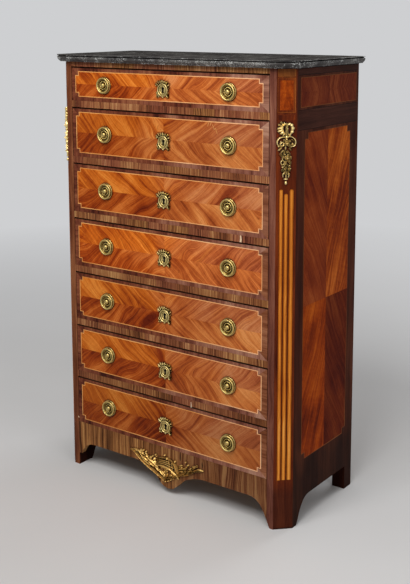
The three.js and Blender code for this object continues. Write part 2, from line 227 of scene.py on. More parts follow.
def notched(left, right, bottom, top, notch, inset=0.0):
    """A rectangle drawn in by the inset. Its corners step in by the notch, if that isn't 0."""
    outline = rectangle(left, right, bottom, top, inset)
    if not notch:
        return outline
    (left, bottom), (right, top) = outline[0], outline[2]
    return [
        (left, bottom + notch), (left + notch, bottom + notch), (left + notch, bottom),
        (right - notch, bottom), (right - notch, bottom + notch), (right, bottom + notch),
        (right, top - notch), (right - notch, top - notch), (right - notch, top),
        (left + notch, top), (left + notch, top - notch), (left, top - notch),
    ]


def quarter(centre, half, end, notch):
    """A quarter of such a panel, from its centre out to its side, half its width away, and to its end."""
    u, v = centre
    side = u + half
    inner = side - math.copysign(notch, half)
    step = end - math.copysign(notch, end - v)
    corner = [(side, step), (inner, step), (inner, end)] if notch else [(side, end)]
    return [(u, v), (side, v), *corner, (u, end)]


def string_frame(shell, outer, inner, material, high=VENEER):
    """A string line between two outlines, one length for each side."""
    for i in range(len(outer)):
        start, end = outer[i - 1], outer[i]
        angle = math.atan2(end[1] - start[1], end[0] - start[0])
        veneer(shell, [start, end, inner[i], inner[i - 1]], material, angle, high=high)


FACING = 0.999                # least cosine between a face's normal and its plane's
SAME_PLANE = 0.05 * MM


def skin(shell, node, material, shift):
    """Upright veneer over each face of a CAD node that lies in the shell's plane, with the same outline."""
    plane = shell.plane
    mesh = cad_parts[node].data
    corners = {}
    triangles = []
    for polygon in mesh.polygons:
        off = (polygon.center - plane.origin).dot(plane.out)
        if polygon.normal.dot(plane.out) < FACING or abs(off) > SAME_PLANE:
            continue
        face = []
        for index in polygon.vertices:
            place = mesh.vertices[index].co - plane.origin
            key = (round(place.dot(plane.across), 6), round(place.dot(plane.up), 6))
            face.append(corners.setdefault(key, len(corners)))
        triangles.append(tuple(reversed(face)) if plane.flipped else tuple(face))
    outline = list(corners)
    count = len(outline)
    edges = {(f[i], f[(i + 1) % len(f)]) for f in triangles for i in range(len(f))}
    points = [(u, v, w) for w in (0.0, VENEER) for u, v in outline]
    faces = [tuple(count + i for i in face) for face in triangles]
    faces += [tuple(reversed(face)) for face in triangles]
    faces += [(a, b, count + b, count + a) for a, b in edges if (b, a) not in edges]
    shell.add(points, faces, material, grain_of(points, UPRIGHT, shift))


def skinned(name, plane, material, shifts):
    """One object with the veneer of CAD nodes of the case, each with its shift."""
    work = Shell(plane)
    for node, shift in shifts.items():
        skin(work, node, material, shift)
    work.finish(name, "case")


# Materials

class Graph:
    """The node tree of a material or world, with short ways to add its nodes."""

    def __init__(self, tree):
        self.tree = tree

    def feed(self, socket, value):
        """Links a socket to a node's output, or sets it to a constant."""
        if isinstance(value, bpy.types.NodeSocket):
            self.tree.links.new(value, socket)
        else:
            socket.default_value = value

    def node(self, kind, inputs=None, **settings):
        made = self.tree.nodes.new("ShaderNode" + kind)
        for key, value in settings.items():
            setattr(made, key, value)
        for key, value in (inputs or {}).items():
            self.feed(made.inputs[key], value)
        return made

    def maths(self, operation, first, second=0.0, clamp=False):
        return self.node("Math", {0: first, 1: second}, operation=operation, use_clamp=clamp).outputs[0]

    def plus(self, first, second, clamp=False):
        return self.maths("ADD", first, second, clamp)

    def minus(self, first, second, clamp=False):
        return self.maths("SUBTRACT", first, second, clamp)

    def times(self, first, second, clamp=False):
        return self.maths("MULTIPLY", first, second, clamp)

    def share(self, value, start, end):
        """How far the value has come from start to end."""
        return self.maths("DIVIDE", self.minus(value, start), end - start)

    def above(self, value, level, gain):
        """0 up to the level, and from there up to 1 with the gain."""
        return self.times(self.minus(value, level), gain, clamp=True)

    def swung(self, value, source, amount):
        """The value plus the source's swing about its middle."""
        return self.plus(value, self.times(self.minus(source, 0.5), amount))

    def mixed(self, factor, first, second, blend="MIX"):
        inputs = {0: factor, 6: first, 7: second}
        return self.node("Mix", inputs, data_type="RGBA", blend_type=blend).outputs[2]

    def ramp(self, factor, stops):
        made = self.node("ValToRGB", {0: factor})
        elements = made.color_ramp.elements
        while len(elements) < len(stops):
            elements.new(0.5)
        for element, (place, shade) in zip(elements, stops):
            element.position = place
            element.color = shade
        return made.outputs[0]

    def place(self):
        return self.node("TexCoord").outputs["Object"]

    def parts(self, vector):
        return self.node("SeparateXYZ", {0: vector}).outputs

    def noise(self, vector, scale, detail=2.0, rough=0.5, shift=0.0):
        """Noise of one scale, or with a scale for each axis, and shifted."""
        if isinstance(scale, tuple):
            inputs = {"Vector": vector, "Scale": scale, "Location": (shift, shift, shift)}
            vector = self.node("Mapping", inputs).outputs[0]
            scale = 1.0
        inputs = {"Vector": vector, "Scale": scale, "Detail": detail, "Roughness": rough}
        return self.node("TexNoise", inputs).outputs[0]

    def hollows(self, reach, samples):
        """1 in the open and less where other surfaces stand within reach."""
        return self.node("AmbientOcclusion", {"Distance": reach}, samples=samples).outputs["AO"]

    def bump(self, height, strength, depth):
        inputs = {"Height": height, "Strength": strength, "Distance": depth}
        return self.node("Bump", inputs).outputs[0]

    def grain_vector(self, source):
        """Vector along the grain, across it and into the wood: from the grain map, or along a world axis."""
        if source == "grain":
            return self.node("UVMap", uv_map="grain").outputs[0]
        split = self.parts(self.place())
        order = [split["XYZ".index(source)]] + [split[i] for i in range(3) if "XYZ"[i] != source]
        return self.node("CombineXYZ", dict(enumerate(order))).outputs[0]

    def shows_background(self):
        """1 for the camera's rays and those in metal and glass, and 0 for the light that falls on things."""
        path = self.node("LightPath").outputs
        direct = self.maths("MAXIMUM", path["Is Camera Ray"], path["Is Glossy Ray"])
        return self.maths("MAXIMUM", direct, path["Is Transmission Ray"])


class Finish(Graph):
    """A material and its graph."""

    def __init__(self, name):
        self.material = bpy.data.materials.new(name)
        self.material.use_nodes = True
        super().__init__(self.material.node_tree)
        self.shader = self.tree.nodes["Principled BSDF"]

    def connect(self, **sockets):
        for key, value in sockets.items():
            self.feed(self.shader.inputs[key.replace("_", " ")], value)
        return self.material


# Colour and reach of the painted shade, with some grime, that darkens wood round what stands on it
SHADE_AND_GRIME = colour(20, 9, 4)
SHADE_AND_GRIME_REACH = 9 * MM
SHADE_AND_GRIME_START = 0.97            # how open a place still is where the painted shade and grime begin to gather
DARKEST = 0.24                # places of the darkest and the lightest shade on a wood's ramp
LIGHTEST = 0.76
BEND_SCALE = (3.5, 9, 9)
CLOUD_SCALE = (5, 7, 7)
RIPPLE_SCALE = (110, 26, 26)
THREAD_SHARPNESS = 60.0
PORE_LEVEL = 0.64             # the noise above it is a pore
PORE_DARKNESS = 0.35


def spread(shades):
    step = (LIGHTEST - DARKEST) / (len(shades) - 1)
    return [(DARKEST + step * i, colour(*shade)) for i, shade in enumerate(shades)]


def wood(name, shades, streak, source="grain", flame=11, along=2.0, fibre=600,
         swings=(0.8, 0.8, 0.35, 0.5), curve=0.05, ripple=0.0, lines=0.0, piece=0.0, second=None,
         change=None, shade_and_grime=0.0, roughness=0.42, level=0.07):
    """Polished wood.

    Shades run from the dark streaks to the light ones. Flame, streak and fibre are how fine the figure is
    across the grain, and along how fine it is along it. Swings are the strengths of the flames, streaks,
    fibres and clouds, curve how far the grain wanders, ripple the strength of the cross figure and lines that
    of fine light threads. Piece is the width of the leaves that a cross-grained band is pieced from, and
    second the shades that some of them have. With change, the shades turn into the second ones along its axis
    of the case, from its first place to its other. One more strength sets how dark the wood turns round what
    stands on it: painted shade, with some grime in the old polish. Level is the strength of the polish's
    shine.
    """
    work = Finish(name)
    vector = work.grain_vector(source)
    bend = work.noise(vector, BEND_SCALE)
    offset = work.times(work.minus(bend, 0.5), curve)
    sideways = work.node("CombineXYZ", {1: offset}).outputs[0]
    bent = work.node("VectorMath", {0: vector, 1: sideways}).outputs[0]
    flames = work.noise(bent, (along * 0.9, flame, flame), shift=3.1)
    streaks = work.noise(bent, (along, streak, streak), 4.0, 0.6)
    fibres = work.noise(bent, (along * 9, fibre, fibre))
    clouds = work.noise(vector, CLOUD_SCALE)
    value = 0.5
    for layer, swing in zip((flames, streaks, fibres, clouds), swings):
        value = work.swung(value, layer, swing)
    if ripple:
        value = work.swung(value, work.noise(bent, RIPPLE_SCALE, shift=1.7), ripple)
    tint = work.ramp(value, spread(shades))
    if piece:
        number = work.maths("FLOOR", work.maths("DIVIDE", work.parts(vector)[1], piece))
        pick = work.node("TexWhiteNoise", {"W": number}, noise_dimensions="1D").outputs[0]
        tint = work.mixed(pick, tint, work.ramp(value, spread(second)))
    if change:
        axis, start, end = change
        share = work.share(work.parts(work.place())[axis], start, end)
        share = work.plus(work.swung(share, clouds, 2.0), 0.0, clamp=True)
        tint = work.mixed(share, tint, work.ramp(value, spread(second)))
    if lines:
        thread = work.noise(bent, (along * 0.7, streak * 1.3, streak * 1.3), 1.0, shift=5.3)
        near = work.maths("ABSOLUTE", work.minus(thread, 0.5))
        line = work.minus(1.0, work.times(near, THREAD_SHARPNESS), clamp=True)
        tint = work.mixed(work.times(line, lines), tint, colour(*shades[-1]), "SCREEN")
    pores = work.noise(bent, (along * 40, fibre * 1.6, fibre * 1.6), 1.0)
    pore = work.maths("GREATER_THAN", pores, PORE_LEVEL)
    tint = work.mixed(work.times(pore, PORE_DARKNESS), tint, colour(*shades[0]), "MULTIPLY")
    # Painted shade with some grime: darker where other surfaces stand near the wood
    if shade_and_grime:
        shaded = work.minus(SHADE_AND_GRIME_START, work.hollows(SHADE_AND_GRIME_REACH, 6), clamp=True)
        tint = work.mixed(work.times(shaded, shade_and_grime, clamp=True), tint, SHADE_AND_GRIME)
    bump = work.bump(work.minus(fibres, work.times(pore, 0.5)), 0.12, 0.1 * MM)
    rough = work.plus(roughness - 0.06, work.times(clouds, 0.14))
    return work.connect(Base_Color=tint, Roughness=rough, Normal=bump, Specular_IOR_Level=level)


def marble(name, veins, flecks, tone, level=0.08):
    """Dark grey marble with soft clouds, white flecks and a few broken veins."""
    work = Finish(name)
    place = work.place()
    warp = work.node("TexNoise", {"Vector": place, "Scale": 7.0, "Detail": 4.0}).outputs[1]
    moved = work.node("VectorMath", {0: warp, 1: (0.12, 0.12, 0.12)}, operation="MULTIPLY").outputs[0]
    bent = work.node("VectorMath", {0: place, 1: moved}).outputs[0]
    clouds = work.noise(bent, 11.0, 9.0, 0.66)
    greys = [(0.3, colour(44, 42, 43)), (0.5, colour(72, 69, 68)), (0.7, colour(108, 106, 102))]
    ground = work.ramp(clouds, greys)
    cracks = {"Vector": bent, "Scale": 26.0}
    cells = work.node("TexVoronoi", cracks, feature="DISTANCE_TO_EDGE").outputs[0]
    patches = work.noise(place, 30.0, 3.0)
    edge = work.maths("LESS_THAN", cells, 0.03)
    vein = work.times(edge, work.maths("GREATER_THAN", patches, 0.55))
    dots = work.noise(place, 330.0, 3.0, 0.65)
    fleck = work.times(work.above(dots, 0.53, 8.0), work.above(patches, 0.4, 5.0))
    white = work.maths("MAXIMUM", work.times(vein, veins), work.times(fleck, flecks))
    tint = work.mixed(white, ground, colour(198, 200, 198))
    tint = work.mixed(1.0, tint, (tone, tone, tone, 1.0), "MULTIPLY")
    rough = work.plus(0.36, work.times(patches, 0.2))
    bump = work.bump(clouds, 0.05, 0.3 * MM)
    return work.connect(Base_Color=tint, Roughness=rough, Normal=bump, Specular_IOR_Level=level)


def bronze(name, bright, body, deep, start, end, reach=5, roughness=0.3, metal=1.0):
    """Gilt bronze: bright where it is rubbed, dark and dull in the hollows of the casting. Its tints run from
    the start to the end of the wear. Reach is how near other metal has to be for a hollow, in millimetres.
    Metal is below 1 for matte gilding."""
    work = Finish(name)
    place = work.place()
    clouds = work.noise(place, 220.0, 4.0, 0.6)
    wear = work.swung(work.minus(work.hollows(reach * MM, 8), 0.12), clouds, 0.6)
    stops = [(start, colour(*deep)), ((start + end) / 2, colour(*body)), (end, colour(*bright))]
    tint = work.ramp(wear, stops)
    bump = work.bump(work.noise(place, 900.0, 3.0), 0.1, 0.2 * MM)
    rough = work.minus(roughness + 0.22, work.times(wear, 0.2))
    return work.connect(Base_Color=tint, Roughness=rough, Normal=bump, Metallic=metal)


def shade(name, tint):
    """Painted shade: a dark surface with a little dust, standing for the shadow in a hole, a groove or a
    hollow.
    """
    work = Finish(name)
    dust = work.noise(work.place(), 300.0, 3.0)
    dark = work.mixed(work.times(dust, 0.3), colour(*tint), colour(48, 42, 36))
    return work.connect(Base_Color=dark, Roughness=0.9, Specular_IOR_Level=0.05)


def iron():
    work = Finish("iron")
    rust = work.noise(work.place(), 90.0, 5.0, 0.65)
    tint = work.ramp(rust, [(0.4, colour(70, 66, 62)), (0.62, colour(112, 74, 48))])
    rough = work.plus(0.35, work.times(rust, 0.4))
    bump = work.bump(rust, 0.2, 0.3 * MM)
    return work.connect(Base_Color=tint, Roughness=rough, Normal=bump, Metallic=0.7)


BACKGROUND = colour(206, 207, 209)
FLOOR_NEAR = 1.2             # within this reach the floor is as it is lit, and beyond the next it is plain
FLOOR_FAR = 4.5


def pale_floor():
    """Pale floor that runs out into a plain pale background."""
    work = Finish("pale_floor")
    place = work.place()
    greys = [(0.3, colour(208, 208, 209)), (0.7, colour(214, 214, 215))]
    tint = work.ramp(work.noise(place, 0.8, 4.0), greys)
    work.connect(Base_Color=tint, Roughness=0.9, Specular_IOR_Level=0.05)
    reach = work.node("VectorMath", {0: place}, operation="LENGTH").outputs["Value"]
    away = work.plus(work.share(reach, FLOOR_NEAR, FLOOR_FAR), 0.0, clamp=True)
    plain = work.node("Emission", {"Color": BACKGROUND, "Strength": 1.0}).outputs[0]
    factor = work.times(away, work.shows_background())
    both = work.node("MixShader", {0: factor, 1: work.shader.outputs[0], 2: plain}).outputs[0]
    work.feed(work.tree.nodes["Material Output"].inputs["Surface"], both)
    return work.material


# Shades of the left and right halves of the upper and lower leaves. The rows differ and the right halves are
# pinker: painted sheen, as light catches each leaf's grain and the polish at the upper right
TULIP = {
    "upper": ([(134, 46, 8), (180, 84, 18), (208, 108, 30), (230, 138, 54)],
              [(134, 60, 32), (168, 86, 48), (190, 108, 62), (208, 134, 86)]),
    "lower": ([(102, 30, 6), (144, 54, 10), (176, 80, 22), (206, 112, 46)],
              [(148, 68, 28), (186, 98, 46), (208, 122, 60), (226, 148, 84)]),
}
DRAWER_TONES = (1.0, 0.93, 0.97, 1.06, 0.96, 0.95, 0.86)      # each drawer has its own tone, and the lowest a darker one: painted shade where less light reaches it


def toned(shades, share):
    """The shades, darker or lighter by a share."""
    return [tuple(min(255, value * share) for value in shade) for shade in shades]


leaf_woods = {
    (row, number): wood(
        f"tulipwood_{row}_{number}", toned(left, tone), flame=21, streak=78, along=1.5,
        swings=(0.68, 1.1, 0.65, 0.75), curve=0.11, ripple=0.16, lines=0.24,
        second=toned(right, tone), change=("X", -0.1, 0.26), shade_and_grime=2.8)
    for row, (left, right) in TULIP.items() for number, tone in enumerate(DRAWER_TONES, 1)
}
# The string turns lighter and pinker to the right: painted sheen
boxwood = wood("boxwood", [(200, 124, 58), (228, 158, 88), (244, 184, 116)], streak=120, fibre=900,
               change=("X", -0.1, 0.35), second=[(208, 142, 92), (234, 174, 124), (248, 200, 154)])
# The banding turns lighter to the right: painted sheen
banding_wood = wood(
    "purplewood_banding", [(58, 22, 14), (96, 46, 30), (124, 68, 46), (146, 92, 62)], streak=75,
    change=("X", -0.05, 0.4), second=[(80, 40, 30), (128, 78, 62), (152, 104, 86), (172, 128, 106)])
# The right-hand end of the banding is lighter, and lighter still towards the top: painted sheen
end_banding_wood = wood(
    "purplewood_end", [(66, 28, 18), (118, 66, 40), (142, 88, 60), (162, 112, 82)], streak=75,
    change=("Z", 0.8, 1.35), second=[(92, 50, 38), (138, 92, 74), (160, 116, 96), (178, 138, 116)])
rail_wood = wood(
    "kingwood_rail", [(58, 28, 15), (111, 65, 35), (150, 99, 57), (196, 152, 95)], flame=16, streak=230,
    along=1.4, swings=(0.6, 1.15, 0.5, 0.5), lines=0.2, piece=83 * MM,
    second=[(62, 26, 18), (113, 58, 40), (145, 87, 60), (182, 131, 92)])
apron_wood = wood(
    "kingwood_apron", [(56, 29, 13), (112, 68, 35), (152, 101, 57), (190, 142, 86)], flame=26, streak=120,
    along=1.4, swings=(0.7, 1.2, 0.5, 0.5), lines=0.2, shade_and_grime=1.8, change=("X", -0.12, 0.2),
    second=[(44, 19, 11), (84, 44, 25), (112, 67, 40), (144, 102, 64)])
stile_wood = wood(
    "purplewood_stile", [(76, 34, 18), (112, 62, 37), (138, 84, 53), (162, 108, 73)], streak=75,
    change=("X", -0.3, 0.3), second=[(66, 32, 24), (98, 54, 42), (122, 74, 58), (146, 98, 78)])
cant_wood = wood(
    "dark_cant", [(42, 13, 7), (68, 27, 13), (92, 42, 22)], streak=60, shade_and_grime=2.2, change=("Z", 0.11, 0.17),
    second=[(60, 17, 6), (101, 39, 12), (134, 59, 20)])
cap_wood = wood(
    "amber_panel", [(78, 20, 1), (118, 41, 3), (152, 62, 7), (182, 90, 17)], flame=30, streak=60, along=16.0,
    swings=(1.2, 0.6, 0.4, 1.0), ripple=0.25)
cap_frame_wood = wood("amber_frame", [(88, 32, 8), (124, 56, 16), (152, 82, 30)], streak=90)
cap_line_wood = wood("amber_line", [(116, 56, 16), (150, 84, 30), (176, 108, 46)], streak=120)
cap_top_wood = wood("brown_block", [(88, 42, 14), (126, 70, 28), (154, 98, 42)], flame=30, streak=70)
flute_wood = wood("amber_flute", [(140, 64, 12), (180, 98, 22), (204, 124, 40)], streak=160, fibre=900)
flute_core_wood = wood(
    "amber_flute_core", [(176, 96, 28), (216, 134, 48), (232, 160, 76)], streak=160, fibre=900)
flute_edge_wood = wood("scorched_edge", [(54, 16, 4), (80, 30, 8), (98, 42, 12)], streak=200, fibre=900)
# The side's dark ground is darker towards the bottom: painted shade near the floor
side_frame_wood = wood("dark_side_frame", [(24, 9, 5), (42, 19, 11), (60, 31, 19)], streak=60, level=0.02,
                       change=("Z", 0.15, 0.4), second=[(44, 17, 8), (69, 31, 18), (92, 49, 31)])
side_band_wood = wood("dark_side_band", [(34, 15, 11), (58, 30, 22), (80, 45, 34)], streak=70, level=0.02)
# Leaves of a side by their row and the hand they lie on: -1 in front, 1 behind
SIDE_LEAVES = {
    ("upper", -1): [(92, 26, 8), (118, 44, 14), (138, 58, 22), (156, 76, 34)],
    ("upper", 1): [(82, 20, 2), (124, 44, 9), (162, 72, 20), (198, 104, 38)],
    ("lower", -1): [(82, 20, 0), (124, 42, 2), (158, 63, 8), (190, 92, 22)],
    ("lower", 1): [(56, 10, 1), (80, 21, 4), (99, 34, 9), (120, 53, 20)],
    ("frieze", 0): [(70, 18, 8), (92, 32, 15), (112, 46, 22), (136, 66, 34)],
}
side_leaf_woods = {
    (row, hand): wood(
        f"side_{row}_{'rear' if hand > 0 else 'front'}", shades, flame=22, streak=74, along=2.4,
        swings=(0.5, 0.85, 0.55, 0.75), curve=0.09, ripple=0.14, level=0.02,
        lines=0.3 if (row, hand) == ("upper", 1) else 0.12)
    for (row, hand), shades in SIDE_LEAVES.items()
}
side_string_wood = wood("side_string", [(84, 40, 14), (118, 64, 26), (142, 86, 40)], streak=120, level=0.04)
# Dark wood for the bare faces of posts and sides, darkened further as painted shade on the feet's inner faces
foot_wood = wood("dark_shaded_foot", [(22, 8, 5), (38, 15, 9), (58, 25, 15)], source="Z", streak=60, level=0.03)
# Dark wood for a front's edges, darker still as painted shade for the gap round a closed drawer
edge_wood = wood("dark_shaded_edge", [(34, 18, 11), (54, 31, 19), (78, 48, 31)], source="X", streak=60, level=0.02)
# Painted shade: the dark line at a drawer's upper edge and those along the side's bands
shade_line_wood = wood("painted_shade_line", [(10, 5, 4), (20, 11, 8), (34, 20, 14)], source="X", streak=60, level=0.02)
oaks = {
    axis: wood("oak_along_" + axis.lower(), [(104, 68, 36), (144, 102, 60), (172, 128, 82)], source=axis,
               streak=55, swings=(0.6, 0.8, 0.6, 0.4), roughness=0.62, level=0.05)
    for axis in "XYZ"
}
back_oak = wood(
    "oak_frame", [(84, 56, 32), (122, 88, 54), (150, 114, 74)], streak=60, swings=(0.6, 0.8, 0.6, 0.5),
    roughness=0.66, level=0.04)
panel_oak = wood(
    "oak_panel", [(92, 64, 38), (134, 98, 62), (164, 128, 86)], streak=48, flame=16,
    swings=(0.9, 0.8, 0.6, 0.6), roughness=0.66, level=0.04)
pin_oak = wood(
    "oak_end_grain", [(88, 56, 28), (118, 80, 46), (142, 104, 66)], streak=200, roughness=0.66, level=0.04)
tail_oak = wood(
    "oak_tails", [(112, 76, 42), (150, 108, 66), (176, 134, 88)], streak=55, roughness=0.62, level=0.05)
# The top face is a darker copy of the marble of the edge: painted shade on the top
marble_face = marble("marble_face", 0.4, 0.3, 0.66, level=0.0)
marble_edge = marble("marble_edge", 0.5, 1.3, 1.05)
fall_bronze = bronze(
    "gilt_bronze", (240, 214, 146), (198, 164, 84), (64, 42, 12), 0.1, 0.86, reach=2.1, metal=0.72)
mount_bronze = bronze(
    "golden_bronze", (234, 194, 116), (158, 114, 42), (42, 24, 6), 0.14, 0.84, reach=2.8, metal=0.82,
    roughness=0.38)
plate_bronze = bronze("pale_bronze", (226, 204, 138), (150, 126, 70), (24, 17, 4), 0.3, 0.76)
dull_brass = bronze(
    "dull_brass", (196, 172, 106), (122, 102, 52), (42, 33, 12), 0.3, 0.8, reach=4, roughness=0.26)
rope_brass = bronze(
    "rope_brass", (206, 182, 112), (122, 100, 48), (26, 19, 6), 0.34, 0.84, reach=2.2, roughness=0.26)
lock_iron = iron()
# Painted shade: dark slabs for the depth of the keyholes and of the bolts' slots
keyhole_shade = shade("keyhole_shade", (7, 5, 4))
# Painted shade in the fine quirk of the marble's edge
groove_shade = shade("quirk_shade", (14, 13, 13))
# Painted shade behind the trellis of the apron mount
mount_shade = shade("mount_backing_shade", (44, 22, 20))
chip_wood = wood("bare_chip", [(196, 164, 128), (222, 194, 160), (236, 214, 184)], streak=200)
scratch_wood = wood("scratched_polish", [(206, 146, 80), (228, 176, 108), (238, 196, 136)], streak=200)
knot_wood = wood("dark_knot", [(24, 12, 8), (40, 22, 16), (56, 34, 24)], streak=200)


# Camera, lights and floor

def place_camera():
    camera = bpy.data.objects.new("camera", bpy.data.cameras.new("camera"))
    bpy.context.scene.collection.objects.link(camera)
    turn = Matrix.Rotation(-CAMERA_YAW, 4, "Z") @ Matrix.Rotation(CAMERA_PITCH + UPRIGHT, 4, "X")
    turn = turn @ Matrix.Rotation(CAMERA_ROLL, 4, "Z")
    camera.matrix_world = Matrix.Translation(CAMERA_PLACE) @ turn
    camera.data.lens = CAMERA_LENS
    camera.data.sensor_width = CAMERA_SENSOR
    camera.data.shift_y = CAMERA_SHIFT
    bpy.context.scene.camera = camera


# Lights: name, place, aim, size, power and tint
LIGHTS = (
    ("key", (0.4, -2.2, 3.4), (0, 0, 1.7), 2.0, 94, (1, 0.98, 0.95)),
    ("fill", (4.2, -1.8, 2.6), (0, 0, 0.75), 2.4, 40, (1, 1, 1)),
    ("rear", (0.8, 4.8, 3.2), (0, 0, 0.75), 2.6, 90, (1, 1, 1)),
)
SKY = (1.0, 0.99, 0.97, 1.0)
SKY_STRENGTH = 0.25
FLOOR_SIZE = 300.0


def light_studio():
    scene = bpy.context.scene
    for name, place, aim, size, power, tint in LIGHTS:
        lamp = bpy.data.lights.new(name, "AREA")
        lamp.shape = "SQUARE"
        lamp.size = size
        lamp.energy = power
        lamp.color = tint
        light = bpy.data.objects.new(name, lamp)
        light.visible_camera = False
        light.location = place
        light.rotation_euler = (Vector(aim) - Vector(place)).to_track_quat("-Z", "Y").to_euler()
        scene.collection.objects.link(light)
    scene.world = bpy.data.worlds.new("studio")
    scene.world.use_nodes = True
    work = Graph(scene.world.node_tree)
    soft = work.tree.nodes["Background"]
    work.feed(soft.inputs["Color"], SKY)
    work.feed(soft.inputs["Strength"], SKY_STRENGTH)
    plain = work.node("Background", {"Color": BACKGROUND, "Strength": 1.0}).outputs[0]
    both = work.node("MixShader", {0: work.shows_background(), 1: soft.outputs[0], 2: plain}).outputs[0]
    work.feed(work.tree.nodes["World Output"].inputs["Surface"], both)


def lay_floor():
    mesh = bpy.data.meshes.new("floor")
    corners = rectangle(-FLOOR_SIZE, FLOOR_SIZE, -FLOOR_SIZE, FLOOR_SIZE)
    mesh.from_pydata([(x, y, 0) for x, y in corners], [], [(0, 1, 2, 3)])
    mesh.materials.append(pale_floor())
    floor = bpy.data.objects.new("floor", mesh)
    bpy.context.scene.collection.objects.link(floor)


def finish_cad(name, material, edge=None):
    """Gives a CAD node that stays its material. With an edge material, its sides, top and bottom have that
    one, and only its front and back the first."""
    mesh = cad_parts[name].data
    mesh.materials.clear()
    mesh.materials.append(material)
    if edge:
        mesh.materials.append(edge)
        for polygon in mesh.polygons:
            polygon.material_index = int(abs(polygon.normal.y) < 0.5)


# Drawers

TOP_GAP = 3.5 * MM            # between a front and its opening
BOTTOM_GAP = 0.3 * MM
DARK_ARRIS = 1.3 * MM         # painted shade along the upper edge of a front, below the gap
SHADE_LINE_TOP = 1.2 * VENEER
GRAIN_SPREAD = 0.07           # how far the grain's angle strays, in radians
DRAWER_SHIFT = 0.731          # shifts of the figure from drawer to drawer, leaf to leaf and length to length
LEAF_SHIFTS = (0.03, 0.017)
LENGTH_SHIFT = 0.311
TAIL_SHIFT = 0.21


def drawer_box(number):
    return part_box(f"drawer_{number}_front")


def dress_drawer(number):
    """Quartered field inside a stepped string, with cross-grained banding round it."""
    body = f"drawer_{number}"
    low, high = drawer_box(number)
    left, right = FIELD_X - FIELD_HALF, FIELD_X + FIELD_HALF
    bottom = low.z - BOTTOM_GAP + STRING_BOTTOM
    top = high.z + TOP_GAP - STRING_TOP
    string_out = notched(left, right, bottom, top, NOTCH)
    string_in = notched(left, right, bottom, top, NOTCH, STRING_WIDTH)
    middle = (bottom + top) / 2
    shift = number * DRAWER_SHIFT

    field = Shell(FRONT)
    half_width = FIELD_HALF - STRING_WIDTH
    half_height = top - STRING_WIDTH - middle
    for across, along in ((1, 1), (-1, 1), (-1, -1), (1, -1)):
        outline = quarter((FIELD_X, middle), across * half_width, middle + along * half_height, NOTCH)
        slip = shift + LEAF_SHIFTS[0] * across + LEAF_SHIFTS[1] * along
        angle = GRAIN_ANGLE + dice.uniform(-GRAIN_SPREAD, GRAIN_SPREAD)
        leaf_wood = leaf_woods["upper" if along > 0 else "lower", number]
        veneer(field, outline, leaf_wood, angle, (FIELD_X, middle), slip)
    field.finish(body + "_field", body)

    string = Shell(FRONT)
    string_frame(string, string_out, string_in, boxwood)
    string.finish(body + "_string", body)

    banding = Shell(FRONT)
    corners = rectangle(low.x, high.x, low.z, high.z)
    for i in range(4):
        inner = [string_out[(3 * i + 4 - step) % 12] for step in range(4)]
        material = end_banding_wood if i == 1 else banding_wood
        angle = 0.0 if i % 2 else UPRIGHT
        outline = [corners[i], corners[(i + 1) % 4], *inner]
        veneer(banding, outline, material, angle, shift=shift + i * LENGTH_SHIFT)
    # A dark strip along the front's upper edge: painted shade below the gap
    veneer(banding, rectangle(low.x, high.x, high.z - DARK_ARRIS, high.z), shade_line_wood, high=SHADE_LINE_TOP)
    banding.finish(body + "_banding", body)
    finish_cad(body + "_front", oaks["X"], edge_wood)
    finish_cad(body + "_tray", oaks["X"], oaks["Y"])
    joint_drawer(number)
    fit_lock(number)


FRONT_LAP = 6 * MM            # wood of the front that covers the ends of the tails
TAIL_PITCH = 38 * MM
TAIL_WAIST = 0.5              # share of the pitch that a tail has at its root, and then at its end
TAIL_END = 0.74
END_GRAIN_TOP = 0.5 * VENEER  # face of the front's end grain
TAIL_BASE = 0.4 * VENEER      # underside and face of the tails that lie on it
TAIL_TOP = 0.8 * VENEER


def joint_drawer(number):
    """Lapped dovetails where the sides of the drawer meet its front."""
    body = f"drawer_{number}"
    low, high = drawer_box(number)
    count = round((high.z - low.z) / TAIL_PITCH)
    pitch = (high.z - low.z) / count
    for side, sign in HANDS.items():
        cheek = Shell(Plane((sign * high.x, 0, 0), Y, Z, X * sign))
        lap = low.y + FRONT_LAP
        face = rectangle(lap, high.y, low.z, high.z)
        veneer(cheek, face, pin_oak, UPRIGHT, high=END_GRAIN_TOP)
        for i in range(count):
            middle = low.z + (i + 0.5) * pitch
            waist = TAIL_WAIST * pitch / 2
            end = TAIL_END * pitch / 2
            tail = [
                (lap, middle - end), (high.y, middle - waist), (high.y, middle + waist), (lap, middle + end)]
            veneer(cheek, tail, tail_oak, shift=TAIL_SHIFT * i, low=TAIL_BASE, high=TAIL_TOP)
        cheek.finish(f"{body}_dovetails_{side}", body)


# The lock, from the middle of the front's upper edge: left, right, bottom and top
LOCK_PLATE = (-35 * MM, 35 * MM, -52 * MM, -1 * MM)
LOCK_LEVELS = ((0.0, 0.0), (8 * MM, 0.0), (9 * MM, 1 * MM))
# The rest of it in millimetres
LOCK_SCREWS = ((-28, -8), (28, -8), (-28, -44), (28, -44))
SCREW_PROFILE = ((3.2, 0.0), (3.2, 9.0), (2.4, 10.2), (0.5, 10.5))
LOCK_COLLAR = ((0, -26), 6.5, 1.2, 10.4)
SELVAGE = (-35, 35, -16, -1)
SELVAGE_LEVELS = (0.0, 0.6)
BOLT_SLOT = (-9, 9, -12, -5)
BOLT_SLOT_LEVELS = (0.5, 0.8)


